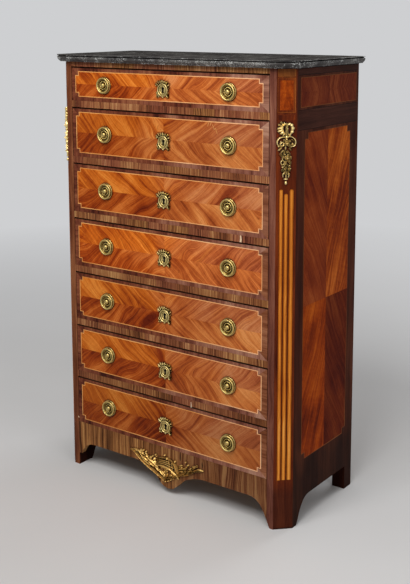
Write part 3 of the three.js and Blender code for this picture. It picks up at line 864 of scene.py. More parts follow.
def fit_lock(number):
    """Iron lock behind the front, below its upper edge, with its selvage let into that edge."""
    body = f"drawer_{number}"
    high = drawer_box(number)[1]
    edge = (ESCUTCHEON_X, high.y, high.z)
    work = Shell(Plane(edge, -X, Z, Y), lock_iron)
    block(work, LOCK_PLATE, LOCK_LEVELS, lock_iron)
    for screw in LOCK_SCREWS:
        revolved(work, screw, SCREW_PROFILE, 12)
    hoop(work, *LOCK_COLLAR)
    work.finish(body + "_lock", body, smooth=40)
    top = Shell(Plane(edge, X, Y, Z))
    slab(top, rectangle(*SELVAGE), *SELVAGE_LEVELS, lock_iron)
    # The bolt's slot is a dark slab: painted shade
    slab(top, rectangle(*BOLT_SLOT), *BOLT_SLOT_LEVELS, keyhole_shade)
    top.finish(body + "_lock_selvage", body)


# Case

# Shifts of the figure over the case
STILE_SHIFT = 0.4
CANT_SHIFT = 0.7
RAIL_SHIFT = 0.53
TOP_RAIL_SHIFT = 0.21
APRON_SHIFT = 0.87


def dress_case():
    for side, sign in HANDS.items():
        post = side + "_front_post"
        skinned(side + "_stile_veneer", FRONT, stile_wood, {post: sign * STILE_SHIFT})
        skinned(side + "_cant_veneer", CANTS[side], cant_wood, {post: sign * CANT_SHIFT})
        dress_cant(side)
        dress_side(side)
        finish_cad(post, foot_wood)
        finish_cad(side + "_side", foot_wood)
    rails = {f"rail_frame_{number}": number * RAIL_SHIFT for number in range(1, DRAWERS)}
    rails["top_board"] = TOP_RAIL_SHIFT
    skinned("rail_veneer", FRONT, rail_wood, rails)
    make_back()
    skinned("apron_veneer", FRONT, apron_wood, {"apron": APRON_SHIFT})
    for name in (*rails, "bottom_board", "apron"):
        finish_cad(name, oaks["X"])


# Inlaid flutes of a cant: left, right and top, in millimetres
FLUTES = ((11, 21.4, 1080), (26.4, 37.1, 1067), (42.7, 54.2, 1080))
FLUTE_FOOT = 163 * MM
FLUTE_EDGE = 1.3 * MM
FLUTE_CORE = 0.28             # share of a flute's width on either side of its light core
FLUTE_TOPS = (1.5, 2.0, 2.2)  # heights of its edge, body and core, in veneers
ARC_STEPS = 8
# Framed blocks of a cant: left, right, bottom, top, height of the ground in veneers, line and panel
CANT_BLOCKS = (
    (5, 57, 1286.5, 1303.5, 1.0, cant_wood, cant_wood),
    (4, 58, 1309, 1412, 1.0, cap_line_wood, cap_frame_wood),
    (10, 52, 1316, 1405, 1.5, cant_wood, cap_wood),
    (4, 58, 1415.5, 1437, 1.0, cap_line_wood, cap_top_wood),
)
CANT_LINE = 0.9 * MM
CANT_PANEL_BASE = 0.5 * VENEER
CANT_PANEL_RISE = 0.4 * VENEER    # a block's ground to the face of its panel, and to that of its line
CANT_LINE_RISE = 0.5 * VENEER


def arched(left, right, bottom, top):
    """A strip with a round upper end."""
    radius = (right - left) / 2
    middle = left + radius
    turns = [math.pi * i / ARC_STEPS for i in range(ARC_STEPS + 1)]
    arc = [(middle + radius * math.cos(t), top - radius + radius * math.sin(t)) for t in turns]
    return [(left, bottom), (right, bottom)] + arc


def dress_cant(side):
    """Three inlaid flutes, and above them framed blocks."""
    work = Shell(CANTS[side])
    for sizes in FLUTES:
        left, right, top = (size * MM for size in sizes)
        core = FLUTE_CORE * (right - left)
        woods = (flute_edge_wood, flute_wood, flute_core_wood)
        for inset, height, material in zip((-FLUTE_EDGE, 0.0, core), FLUTE_TOPS, woods):
            outline = arched(left + inset, right - inset, FLUTE_FOOT, top - inset)
            veneer(work, outline, material, UPRIGHT, low=VENEER, high=height * VENEER)
    for *edges, ground, line_wood, panel_wood in CANT_BLOCKS:
        sizes = [edge * MM for edge in edges]
        inner = rectangle(*sizes, CANT_LINE)
        line_top = ground * VENEER + CANT_LINE_RISE
        string_frame(work, rectangle(*sizes), inner, line_wood, high=line_top)
        panel_top = ground * VENEER + CANT_PANEL_RISE
        veneer(work, inner, panel_wood, UPRIGHT, shift=sizes[2], low=CANT_PANEL_BASE, high=panel_top)
    work.finish(side + "_cant_inlay", "case")


SIDE_SEAM = 705 * MM
# Panels and bands of a side: front, rear, bottom and top in millimetres, and the step of a panel's corners
FRIEZE = (-137, 209, 1321, 1411, 0)
SIDE_PANEL = (-110.7, 173, 207, 1245, 19)
SIDE_BANDS = ((-150, 216, 1255, 1313), (-150, 216, 1419, 1437))
SIDE_GROOVE = 1.6 * MM
SIDE_LINE = 2 * MM
GROOVE_TOP = 1.3 * VENEER     # faces of the inlay over the dark ground, from the lowest to the highest
BAND_TOP = 1.7 * VENEER
LEAF_TOP = 1.9 * VENEER
LINE_TOP = 2 * VENEER
SIDE_SHIFT = 0.4
SIDE_LEAF_SHIFT = 0.23
SIDE_LEANS = (0.09, -0.05)    # how far the grain of two leaves, and of the other two, leans, in radians


def dress_side(side):
    """Dark ground with a book-matched frieze panel over a tall quartered one."""
    ground = {side + "_front_post": 0.0, side + "_side": 0.0}
    skinned(side + "_side_ground", SIDES[side], side_frame_wood, ground)
    work = Shell(SIDES[side])
    for band in SIDE_BANDS:
        sizes = [size * MM for size in band]
        groove = [sizes[0], sizes[1], sizes[2] - SIDE_GROOVE, sizes[3] + SIDE_GROOVE]
        # Dark lines just above and below the band: painted shadow
        veneer(work, rectangle(*groove), shade_line_wood, high=GROOVE_TOP)
        veneer(work, rectangle(*sizes), side_band_wood, shift=sizes[2], high=BAND_TOP)
    for panel in (FRIEZE, SIDE_PANEL):
        dress_panel(work, *(size * MM for size in panel))
    work.finish(side + "_side_panels", "case")


def dress_panel(work, left, right, bottom, top, notch):
    """Four leaves inside a string line. The frieze is the one without a notch."""
    outer, inner = (notched(left, right, bottom, top, notch, inset) for inset in (0.0, SIDE_LINE))
    string_frame(work, outer, inner, side_string_wood, high=LINE_TOP)
    middle = (left + right) / 2
    seam = SIDE_SEAM if notch else (bottom + top) / 2
    half = (right - left) / 2 - SIDE_LINE
    for across in (1, -1):
        for end, row in ((top - SIDE_LINE, "upper"), (bottom + SIDE_LINE, "lower")):
            outline = quarter((middle, seam), across * half, end, notch)
            angle = SIDE_GRAIN_ANGLE + SIDE_LEANS[(row == "upper") != (across > 0)]
            leaf_wood = side_leaf_woods[(row, across) if notch else ("frieze", 0)]
            slip = SIDE_SHIFT + SIDE_LEAF_SHIFT * across
            veneer(work, outline, leaf_wood, angle, (middle, seam), slip, high=LEAF_TOP)


# Back

BACK_STILE = 70 * MM
BACK_COLUMNS = 2
BACK_ROWS = 3
PANEL_SINK = 4 * MM           # frame's face to the edge of a panel
FIELD_SINK = 1.2 * MM         # frame's face to the raised field of a panel
PANEL_CHAMFER = 34 * MM
ARRIS = 1.2 * MM
BACK_STILE_SHIFT = 0.37
BACK_ROW_SHIFT = 0.53
BACK_COLUMN_SHIFT = 0.29
PEG_PROFILE = ((4.2, 0.0), (4.0, 0.5), (0.6, 0.8))
PEG_SIDE_SHARE = 0.4          # of a stile's width, from its edge to the pegs
PEG_RISE_SHARES = (0.25, 0.75)


def make_back():
    """Oak frame of stiles and rails, pegged at its joints, with six raised panels."""
    low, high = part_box("back_panel")
    work = Shell(BACK, pin_oak)
    deep = low.y - high.y
    frame_levels = ((deep, 0.0), (-ARRIS, 0.0), (0.0, ARRIS))
    panel_levels = ((deep, 0.0), (-PANEL_SINK, 0.0), (-FIELD_SINK, PANEL_CHAMFER))
    step_u = (high.x - low.x - BACK_STILE) / BACK_COLUMNS
    step_v = (high.z - low.z - BACK_STILE) / BACK_ROWS
    for column in range(BACK_COLUMNS + 1):
        u = low.x + column * step_u
        stile = (u, u + BACK_STILE, low.z, high.z)
        block(work, stile, frame_levels, back_oak, UPRIGHT, BACK_STILE_SHIFT * column)
    for column in range(BACK_COLUMNS):
        left = low.x + column * step_u + BACK_STILE
        right = left + step_u - BACK_STILE
        for row in range(BACK_ROWS + 1):
            v = low.z + row * step_v
            slip = BACK_ROW_SHIFT * row + BACK_COLUMN_SHIFT * column
            block(work, (left, right, v, v + BACK_STILE), frame_levels, back_oak, 0.0, slip)
            for spot in (left - PEG_SIDE_SHARE * BACK_STILE, right + PEG_SIDE_SHARE * BACK_STILE):
                for share in PEG_RISE_SHARES:
                    revolved(work, (spot / MM, (v + share * BACK_STILE) / MM), PEG_PROFILE, 10)
            if row < BACK_ROWS:
                panel = (left, right, v + BACK_STILE, v + step_v)
                block(work, panel, panel_levels, panel_oak, UPRIGHT, slip)
    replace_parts(work.finish("back_boards", "case", smooth=20), "back_panel")
    skinned("rear_post_faces", BACK, back_oak, {side + "_side": SIDE_X for side in SIDES})


# Marble top

# Rise over the slab's underside and inset from its outline, in millimetres
MARBLE_PROFILE = (
    (0.0, 9.0), (0.5, 9.4), (2.0, 8.4), (4.5, 5.6), (7.0, 3.2), (10.0, 1.4), (13.0, 0.5), (15.0, 0.6),
    (16.2, 1.6), (16.6, 3.0), (16.7, 5.5), (19.9, 5.5), (20.0, 1.0), (20.4, 0.3), (21.4, 0.1), (22.0, 0.9))
MARBLE_CUT = 48 * MM          # run of the cut front corners
QUIRK_LEVEL = 9               # the profile's first level in the dark groove, and how many there are
QUIRK_LEVELS = 3


def lay_marble():
    """Slab with a rounded edge below a fine dark quirk, over the whole of the CAD slab."""
    low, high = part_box("marble_top")
    work = Shell(LEVEL)
    rings = []
    for rise, inset in MARBLE_PROFILE:
        gap = inset * MM
        right, front, rear = high.x - gap, low.y + gap, high.y
        corner = MARBLE_CUT - gap * math.tan(math.pi / 8)
        z = low.z + rise * MM
        rings.append([
            (right - corner, front, z), (right, front + corner, z), (right, rear, z),
            (-right, rear, z), (-right, front + corner, z), (-right + corner, front, z)])
    loft(work, rings, marble_edge)
    # The quirk's faces take painted shade, and the top face its own darker marble
    work.materials += [groove_shade, marble_face]
    sides = len(rings[0])
    for level in range(QUIRK_LEVEL, QUIRK_LEVEL + QUIRK_LEVELS):
        for i in range(sides):
            work.numbers[level * sides + i] = 1
    work.numbers[-1] = 2
    piece = work.finish("marble_slab", "case", smooth=35)
    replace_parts(piece, "marble_top")


# Bronze ornament, all in millimetres in the plane of its shell

ROUND = ((-1, 0.2), (-0.8, 0.68), (-0.4, 0.94), (0, 1), (0.4, 0.94), (0.8, 0.68), (1, 0.2))
GUTTER = ((-1, 0.4), (-0.85, 1), (-0.5, 0.66), (0, 0.34), (0.5, 0.66), (0.85, 1), (1, 0.4))
VEINED = ((-1, 0.12), (-0.62, 0.7), (-0.2, 1), (0, 0.66), (0.2, 1), (0.62, 0.7), (1, 0.12))


def smooth_path(points, steps, closed=False):
    """Catmull-Rom path through the points."""
    spots = [Vector((*point, 0.0)) for point in points]
    if closed:
        spots = [spots[-1]] + spots + spots[:2]
    else:
        spots = [spots[0] * 2 - spots[1]] + spots + [spots[-1] * 2 - spots[-2]]
    path = []
    for i in range(1, len(spots) - 2):
        a, b, c, d = spots[i - 1:i + 3]
        for step in range(steps):
            t = step / steps
            square = (2 * a - 5 * b + 4 * c - d) * t * t
            path.append(0.5 * (2 * b + (c - a) * t + square + (3 * b - a - 3 * c + d) * t ** 3))
    return path if closed else path + [spots[-2]]


def scaled(rings):
    return [[(u * MM, v * MM, w * MM) for u, v, w in ring] for ring in rings]


def slab(shell, outline, low, high, material):
    """A flat slab with the given outline."""
    loft(shell, scaled([[(u, v, w) for u, v in outline] for w in (low, high)]), material)


END_BLUNTNESS = 0.6           # power of a strip's swell: the lower, the sooner it widens from its ends
LOBE_SHARPNESS = 1.5
LOW_END = 0.45                # share of a strip's height that does not fall off with its width


def strip(shell, points, steps, width, height, section=ROUND, taper=0.35, lobes=0, bite=0.3):
    """A raised strip along a path through the points, down to the wood. It narrows to its taper share at
    both ends, and lobes cut its edges like a leaf's."""
    path = smooth_path(points, steps)
    rings = []
    last = len(path) - 1
    for i, spot in enumerate(path):
        t = i / last
        run = path[min(i + 1, last)] - path[max(i - 1, 0)]
        side = Vector((run.y, -run.x, 0)).normalized()
        swell = taper + (1 - taper) * math.sin(math.pi * t) ** END_BLUNTNESS
        reach = width * swell
        if lobes:
            reach *= 1 - bite * (1 - abs(math.sin(math.pi * lobes * t))) ** LOBE_SHARPNESS
        lift = height * (LOW_END + (1 - LOW_END) * swell)
        edges = (section[0][0], 0.0), *section, (section[-1][0], 0.0)
        rings.append([(*(spot + side * reach * across).xy, lift * rise) for across, rise in edges])
    loft(shell, scaled(rings), shell.stock)


LEAF_STEPS = 4


def leaf(shell, start, turn, length, width, height, bend=0.0, lobes=3):
    """A lobed leaf from its start, turned anticlockwise from straight up, and bent along its way."""
    u, v = start
    spots = [start]
    for i in range(LEAF_STEPS):
        angle = math.radians(turn + bend * i / LEAF_STEPS)
        u -= math.sin(angle) * length / LEAF_STEPS
        v += math.cos(angle) * length / LEAF_STEPS
        spots.append((u, v))
    strip(shell, spots, 4, width / 2, height, VEINED, taper=0.12, lobes=lobes)


PETAL_BITE = 0.45
MILLING = 0.05                # share of its height by which a milled level rises and falls


def revolved(shell, centre, profile, segments, petals=0, milled=(), stretch=1.0):
    """A turned boss from its rim to its middle. Petals bite into its rim, and some levels are milled."""
    rings = []
    rim = profile[0][0]
    for level, (radius, height) in enumerate(profile):
        ring = []
        for i in range(segments):
            turn = 2 * math.pi * i / segments
            fold = 1 - abs(math.cos(petals * turn / 2))
            reach = radius * (1 - PETAL_BITE * (radius / rim) * fold)
            wave = MILLING * math.cos(segments * turn / 2) if level in milled else 0.0
            u = centre[0] + reach * math.cos(turn)
            v = centre[1] + stretch * reach * math.sin(turn)
            ring.append((u, v, height * (1 + wave)))
        rings.append(ring)
    loft(shell, scaled(rings), shell.stock)


HOOP_STEPS = 36


def hoop(shell, centre, radius, width, height, lobes=0, bite=0.1, stretch=1.0):
    """A round or oval rim."""
    turns = [2 * math.pi * i / HOOP_STEPS for i in range(HOOP_STEPS + 1)]
    path = [(centre[0] + radius * math.sin(t), centre[1] + stretch * radius * math.cos(t)) for t in turns]
    strip(shell, path, 1, width, height, taper=1.0, lobes=lobes, bite=bite)


# Share of the way from the inner to the outer edge, and share of the height
PLEAT = ((0.0, 0.0), (0.0, 0.5), (0.3, 1.0), (0.7, 0.9), (1.0, 0.45), (1.0, 0.0))
PLEAT_RISE = 0.35             # share of its height by which a fold rises and falls at the outer edge


def crimped(shell, inner, outer, height, pleats, bite):
    """A gathered band between two closed outlines. Its folds cut its outer edge."""
    near_path = smooth_path(inner, 6, closed=True)
    far_path = smooth_path(outer, 6, closed=True)
    rings = []
    for i, (near, far) in enumerate(zip(near_path, far_path)):
        fold = math.cos(2 * math.pi * pleats * i / len(near_path))
        reach = near.lerp(far, 1 + bite * (fold - 1) / 2)
        rings.append([
            (*near.lerp(reach, share).xy, height * lift * (1 + PLEAT_RISE * share * fold))
            for share, lift in PLEAT])
    loft(shell, scaled(rings), shell.stock, cyclic=True)


BEAD_TURNS = (0.45, 0.85, 1.2, 1.48)


def bead(shell, centre, radius, height, stretch=1.0):
    profile = [(radius, 0.0)] + [(radius * math.cos(t), height * math.sin(t)) for t in BEAD_TURNS]
    revolved(shell, centre, profile, 10, stretch=stretch)


# Shares of a flower's radius and height, from its rim to its eye
FLOWER = ((1, 0), (0.97, 0.5), (0.7, 0.86), (0.42, 0.6), (0.33, 0.62), (0.3, 1.05), (0.12, 1.25))


def flower(shell, centre, radius, height, petals):
    profile = [(radius * across, height * rise) for across, rise in FLOWER]
    revolved(shell, centre, profile, petals * 6, petals)


VOLUTE_STEPS = 14             # for each turn
VOLUTE_DEPTH = 0.8            # share of its radius that a scroll winds in
VOLUTE_EYE = (0.26, 1.15)     # shares of the scroll's radius and height


def volute(shell, centre, radius, turns, start, width, height, hand=1):
    """A scroll that winds in to a bead."""
    steps = int(turns * VOLUTE_STEPS)
    path = []
    for i in range(steps + 1):
        angle = math.radians(start) + hand * 2 * math.pi * turns * i / steps
        reach = radius * (1 - VOLUTE_DEPTH * i / steps)
        path.append((centre[0] + reach * math.cos(angle), centre[1] + reach * math.sin(angle)))
    strip(shell, path, 1, width, height, GUTTER, taper=0.6)
    bead(shell, centre, radius * VOLUTE_EYE[0], height * VOLUTE_EYE[1])


# Handles

PLATE_PROFILE = (
    (27.6, 0), (27.6, 1.6), (26.9, 2.6), (25.8, 2.9), (24.6, 2.2), (23.6, 1.2), (22.2, 1.2), (20.8, 3.6),
    (19.4, 4.9), (18.1, 5.0), (17.3, 4.0), (16.7, 1.2), (15.7, 1.2), (15.1, 4.4), (14.2, 6.4), (12.9, 6.9),
    (11.8, 6.2), (11.1, 3.4), (10.5, 1.2), (9.2, 1.2), (8.5, 5.4), (7.5, 9.0), (6.2, 11.2), (4.2, 12.3),
    (1.2, 12.8))
MILLED_LEVELS = (14, 15, 16)
RING_RADIUS = 24
RING_TUBE = 2.9
RING_TAPER = 0.1              # share by which the ring is thinner at its top and thicker at its bottom
RING_STANDOFF = 9
RING_STRANDS = 32
RING_STEPS = 6 * RING_STRANDS
RING_SIDES = 12
STRAND_BITE = 0.18            # share of the tube that the grooves between the strands cut
KNUCKLE = ((-2.4, 24.3), (2.4, 24.3))


def make_handle(number, side):
    """Turned plate with a knuckle, and a ring of twisted strands that hangs from it."""
    body = f"drawer_{number}"
    low, high = drawer_box(number)
    plate_low, plate_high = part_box(f"{body}_plate_{side}")
    plane = FRONT.moved((plate_low.x + plate_high.x) / 2, (low.z + high.z) / 2, VENEER)
    plate = Shell(plane, dull_brass)
    revolved(plate, (0, 0), PLATE_PROFILE, 72, milled=MILLED_LEVELS)
    strip(plate, KNUCKLE, 6, RING_TUBE, RING_STANDOFF, taper=0.8)
    piece = plate.finish(f"{body}_plate_{side}_turned", body, smooth=50)
    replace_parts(piece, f"{body}_plate_{side}")
    ring = Shell(plane)
    rings = []
    for i in range(RING_STEPS):
        angle = 2 * math.pi * i / RING_STEPS
        section = []
        for k in range(RING_SIDES):
            turn = 2 * math.pi * k / RING_SIDES
            groove = 1 - abs(math.sin(RING_STRANDS * angle / 2 + turn))
            tube = RING_TUBE * (1 - RING_TAPER * math.sin(angle)) * (1 - STRAND_BITE * groove)
            reach = RING_RADIUS + tube * math.cos(turn)
            rise = RING_STANDOFF + tube * math.sin(turn)
            section.append((math.cos(angle) * reach, math.sin(angle) * reach, rise))
        rings.append(section)
    loft(ring, scaled(rings), rope_brass, cyclic=True)
    rope = ring.finish(f"{body}_ring_{side}_cast", f"{body}_ring_{side}", smooth=50)
    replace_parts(rope, f"{body}_ring_{side}")


# Escutcheons

ESCUTCHEON_X = -3 * MM
ESCUTCHEON_DROP = 94          # opening's top to the middle of the escutcheon
FIRST_ESCUTCHEON_DROP = 64    # the same on the top drawer
ESCUTCHEON_PLATE = ((21, 0), (21, 1.2), (19, 1.6), (12, 1.2), (6, 1.2), (1, 1.2))
ESCUTCHEON_RIMS = ((18.8, 2.0, 5.2, 18), (11.6, 1.3, 4.0, 0))     # radius, width, height and lobes
OVAL_STRETCH = 1.04
# Leaves of the crown: start, tip and width
CROWN = (
    (-16, 13, -29, 22, 7), (-11, 18, -21, 29, 6), (-5, 19, -11, 31, 6), (0, 20, -1, 32, 6.4),
    (6, 19, 10, 29, 6), (11, 17, 20, 28, 6), (16, 12, 27, 21, 6.4), (18, 5, 28, 9, 5.4))
CROWN_LEANS = (10, 22)        # how far the leaves bend, in degrees
CROWN_REACH = 1.05            # a bent leaf's length for each millimetre from its start to its tip
CROWN_HEIGHT = 6.0
CROWN_BEAD_HEIGHT = 5.8
CROWN_BEADS = (
    (-25, 13, 2.4), (-16, 22, 2.4), (-6, 26, 2.2), (5, 26, 2.4), (15, 23, 2.2), (24, 15, 2.4))
ESCUTCHEON_FOOT = ((20, -4), (22, -10), (18, -16), (20, -21), (25, -19))
KEYHOLE_RADIUS = 4.7
KEYHOLE_RISE = 3.88           # middle of the escutcheon to the middle of the keyhole's round
KEYHOLE_FOOT = ((-3.3, -9.0), (3.3, -9.0))
KEYHOLE_LEVELS = (0.5, 2.4)


def make_escutcheon(number):
    """Oval keyhole plate with a double rim, a crown of leaves and two leafy feet."""
    body = f"drawer_{number}"
    high = drawer_box(number)[1]
    drop = FIRST_ESCUTCHEON_DROP if number == 1 else ESCUTCHEON_DROP
    plane = FRONT.moved(ESCUTCHEON_X, high.z + TOP_GAP - drop * MM, VENEER)
    work = Shell(plane, plate_bronze)
    revolved(work, (0, 0), ESCUTCHEON_PLATE, 36, stretch=OVAL_STRETCH)
    for radius, width, height, lobes in ESCUTCHEON_RIMS:
        hoop(work, (0, 0), radius, width, height, lobes, 0.08, OVAL_STRETCH)
    for start_u, start_v, tip_u, tip_v, width in CROWN:
        run = Vector((tip_u - start_u, tip_v - start_v))
        lean = dice.uniform(*CROWN_LEANS) * (-1 if tip_u > 0 else 1)
        turn = math.degrees(math.atan2(-run.x, run.y)) + lean / 2
        leaf(work, (start_u, start_v), turn, run.length * CROWN_REACH, width, CROWN_HEIGHT, -lean, 2)
    for u, v, radius in CROWN_BEADS:
        bead(work, (u, v), radius, CROWN_BEAD_HEIGHT)
    for hand in (-1, 1):
        foot = [(hand * u, v) for u, v in ESCUTCHEON_FOOT]
        strip(work, foot, 4, 3.0, 5.0, GUTTER, 0.6, 3, 0.2)
        leaf(work, (hand * 14, -14), hand * -158, 12, 7, 4.6)
    bead(work, (0, -23), 3.2, 5.0)
    work.finish(body + "_escutcheon", body, smooth=55)
    # A dark slab in the keyhole: painted shade for its depth
    hole = Shell(plane)
    arc = [math.radians(turn) for turn in range(-60, 241, 30)]
    outline = [(KEYHOLE_RADIUS * math.cos(t), KEYHOLE_RADIUS * math.sin(t) + KEYHOLE_RISE) for t in arc]
    slab(hole, [*outline, *KEYHOLE_FOOT], *KEYHOLE_LEVELS, keyhole_shade)
    hole.finish(body + "_keyhole", body)


# Corner falls

# Loops of the bow: inner outline, outer outline, pleats and how deep these cut
BOWS = (
    (((-3, -11), (-6, -10), (-9, -13), (-10, -19), (-8.5, -26), (-6.5, -32), (-4.2, -32), (-3, -21)),
     ((-2, -4), (-10, 0.5), (-20, -6), (-28, -18), (-25, -31), (-12, -41), (-4, -38), (-1.2, -21)), 11, 0.5),
    (((3.8, -11), (8, -10), (11.5, -13), (13.5, -20), (12, -29), (8, -35), (4.8, -33), (3.4, -21)),
     ((2, -5), (10, -1.5), (19, -6), (24, -18), (21, -30), (11, -41), (4, -38), (1.2, -21)), 8, 0.22))
BOW_HEIGHT = 6.4
BOW_LEAVES = ((-14, -4, 38), (-20, -10, 62), (-22, -20, 84), (-21, -27, 108))      # start and turn
RIBBONS = (
    ((-2, -44), (-12, -44), (-22, -47), (-28, -55), (-28, -64), (-24, -71)),
    ((3, -44), (12, -43), (22, -48), (27, -57), (26, -66), (20, -72), (13, -71)))
# Leaves of the fall: start, turn, length, width and bend
FALL_LEAVES = (
    (-12, -74, 130, 18, 6, 0), (-14, -71, 92, 13, 5, 10), (12, -67, -96, 13, 6, 10),
    (6, -71, -122, 12, 5, 0), (8, -76, -140, 11, 5, 10), (-2, -70, 176, 14, 6, 10),
    (-6, -84, 112, 14, 6, 50), (-4, -84, 150, 16, 6, 30), (3, -84, -150, 15, 6, 20),
    (4, -92, -118, 12, 6, -50), (-8, -100, 130, 10, 5, 40), (7, -98, -158, 16, 6, 20),
    (10, -108, -172, 17, 5, 20), (3, -113, -142, 18, 5, -10), (-1, -112, 176, 18, 5, -10),
    (-2, -121, -142, 13, 5, 20), (-3, -128, 118, 12, 5, 40), (-2, -134, 138, 14, 5, 20),
    (4, -130, -112, 10, 5, -40), (4, -136, -126, 12, 5, -30), (0, -130, 178, 18, 5, 6),
    (4, -141, -110, 10, 6, -40), (-3, -150, 124, 9, 5, 30), (4, -146, -150, 14, 5, 10),
    (-1, -142, 184, 16, 5, 0), (16, -50, -150, 10, 4, 30), (-20, -66, 160, 9, 4, 30))
FALL_FLOWERS = (
    (0, -63, 8.5, 9.5, 6), (9, -57, 5, 7.5, 5), (-6, -54, 5, 7, 5), (9, -69, 4.5, 7, 5),
    (2, -90, 4.5, 8.5, 5), (1, -106, 8, 10, 5), (-9, -104, 5, 7, 4), (8, -116, 4.4, 7, 4),
    (-1, -151, 5.4, 8, 5))
FALL_BEADS = (
    (0, -44, 5, 9), (0, -51, 3.6, 8), (-9, -66, 2.4, 8), (-17, -58, 2.4, 6), (18, -64, 2.6, 6),
    (-3, -76, 2.8, 7), (4, -97, 2.6, 8), (-5, -96, 2.6, 7), (13, -104, 2.8, 6), (-12, -110, 2.4, 6),
    (-14, -126, 2.4, 6), (10, -130, 2.4, 6), (-12, -134, 2.6, 6), (12, -139, 2.4, 6), (7, -153, 3.2, 7),
    (-4, -141, 2.2, 7), (-24, -72, 2.8, 6), (13, -72, 2.4, 6))
FALL_HEIGHTS = (5.4, 7.6)     # least and greatest height of its leaves, and how far these turn, in degrees
FALL_TURN = 6
# Middle, radius, width, height, lobes and their bite, and stretch
FALL_HOOPS = ((-14, -65, 5.2, 1.9, 7.5, 7, 0.2, 1.0), (-11.5, -120, 5.4, 1.2, 5.6, 0, 0.0, 1.15))
FALL_VOLUTES = ((-15, -97, 5.4, 1.1), (-9.5, -144, 5.0, 1.2))
FALL_STEMS = (
    ((0, -3), (0, -20), (0, -40)), ((-5, -149), (-10, -155), (-10, -164)),
    ((-1, -154), (-1, -161), (-1, -168)), ((4, -154), (8, -158), (6, -165)))
FALL_ENDS = ((-170, 7.2, 0.36), (-181.5, 3.8, 1.6))      # the bell and the drop: height, radius and stretch


def make_fall(side):
    """Ribbon bow over a bunch of flowers and an open leafy garland that ends in a bell and a drop."""
    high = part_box(side + "_corner_fall")[1]
    work = Shell(CANTS[side].moved(CANT_WIDTH / 2, high.z, VENEER), fall_bronze)
    for inner, outer, pleats, bite in BOWS:
        crimped(work, inner, outer, BOW_HEIGHT, pleats, bite)
    for u, v, turn in BOW_LEAVES:
        leaf(work, (u, v), turn, 6.5, 7, BOW_HEIGHT, lobes=0)
    for ribbon in RIBBONS:
        strip(work, ribbon, 4, 1.9, 6.6, taper=0.8, lobes=9, bite=0.25)
    for u, v, turn, length, width, bend in FALL_LEAVES:
        height = dice.uniform(*FALL_HEIGHTS)
        leaf(work, (u, v), turn + dice.uniform(-FALL_TURN, FALL_TURN), length, width, height, bend, 2)
    for u, v, radius, height, petals in FALL_FLOWERS:
        flower(work, (u, v), radius, height, petals)
    for u, v, radius, height in FALL_BEADS:
        bead(work, (u, v), radius, height)
    for u, v, *sizes in FALL_HOOPS:
        hoop(work, (u, v), *sizes)
    for u, v, radius, turns in FALL_VOLUTES:
        volute(work, (u, v), radius, turns, 60, 1.5, 6.0)
    for stem in FALL_STEMS:
        strip(work, stem, 5, 1.5, 4.8, taper=0.7)
    for v, radius, stretch in FALL_ENDS:
        bead(work, (-1, v), radius, 5.6, stretch)
    piece = work.finish(side + "_fall_cast", "case", smooth=55)
    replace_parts(piece, side + "_corner_fall")


# Apron mount

LEFT_RIM = (
    (-156, 122), (-143, 120), (-131, 114), (-117, 103), (-104, 94), (-92, 87), (-78, 80), (-62, 73),
    (-46, 66), (-31, 59), (-18, 53), (-7, 50), (1, 53))
LEFT_RIB = (
    (-144, 125), (-127, 124), (-115, 119), (-104, 108), (-94, 97), (-84, 90), (-70, 83))
RIGHT_RIM = (
    (0, 52), (12, 60), (24, 66), (36, 72), (48, 79), (60, 85), (72, 88), (86, 92), (102, 101), (116, 110),
    (131, 117), (149, 121))
LUNETTE = (
    (-38, 92), (-39, 103), (-36, 113), (-29, 121), (-13, 125), (4, 126), (19, 123), (30, 116))
FAN = (
    (30, 120), (39, 110), (46, 99), (50, 88), (50, 78))
SILL = (
    (-40, 92), (-24, 96), (-9, 96), (12, 94), (27, 88), (40, 81), (52, 72))
LOWER_SILL = [(u, v - 5.5) for u, v in SILL[1:]]
# Bars of the trellis, thin over the painted shade inside the lunette
TRELLIS = (
    ((-34, 114), (-10, 116), (14, 116)), ((-34, 108), (-8, 110), (20, 109)),
    ((-34, 102), (-4, 104), (30, 99)), ((8, 122), (11, 110), (12, 96)), ((20, 120), (24, 107), (26, 92)),
    ((30, 114), (36, 101), (37, 86)))
# Strips of the mount: paths and their steps, width, height, section, taper, lobes and their bite
MOUNT_STRIPS = (
    (TRELLIS, 4, 1.0, 4.6, ROUND, 0.9, 0, 0.0),
    ((LUNETTE,), 6, 1.8, 7.0, GUTTER, 0.7, 12, 0.2),
    ((FAN,), 6, 3.4, 9.0, GUTTER, 0.6, 7, 0.2),
    ((SILL,), 6, 2.0, 8.6, ROUND, 0.7, 0, 0.0),
    ((LOWER_SILL,), 6, 1.3, 6.4, ROUND, 0.7, 0, 0.0),
    ((LEFT_RIM, RIGHT_RIM), 6, 3.4, 8.0, GUTTER, 0.5, 13, 0.42),
    ((LEFT_RIB,), 6, 3.0, 7.6, VEINED, 0.4, 8, 0.2),
)
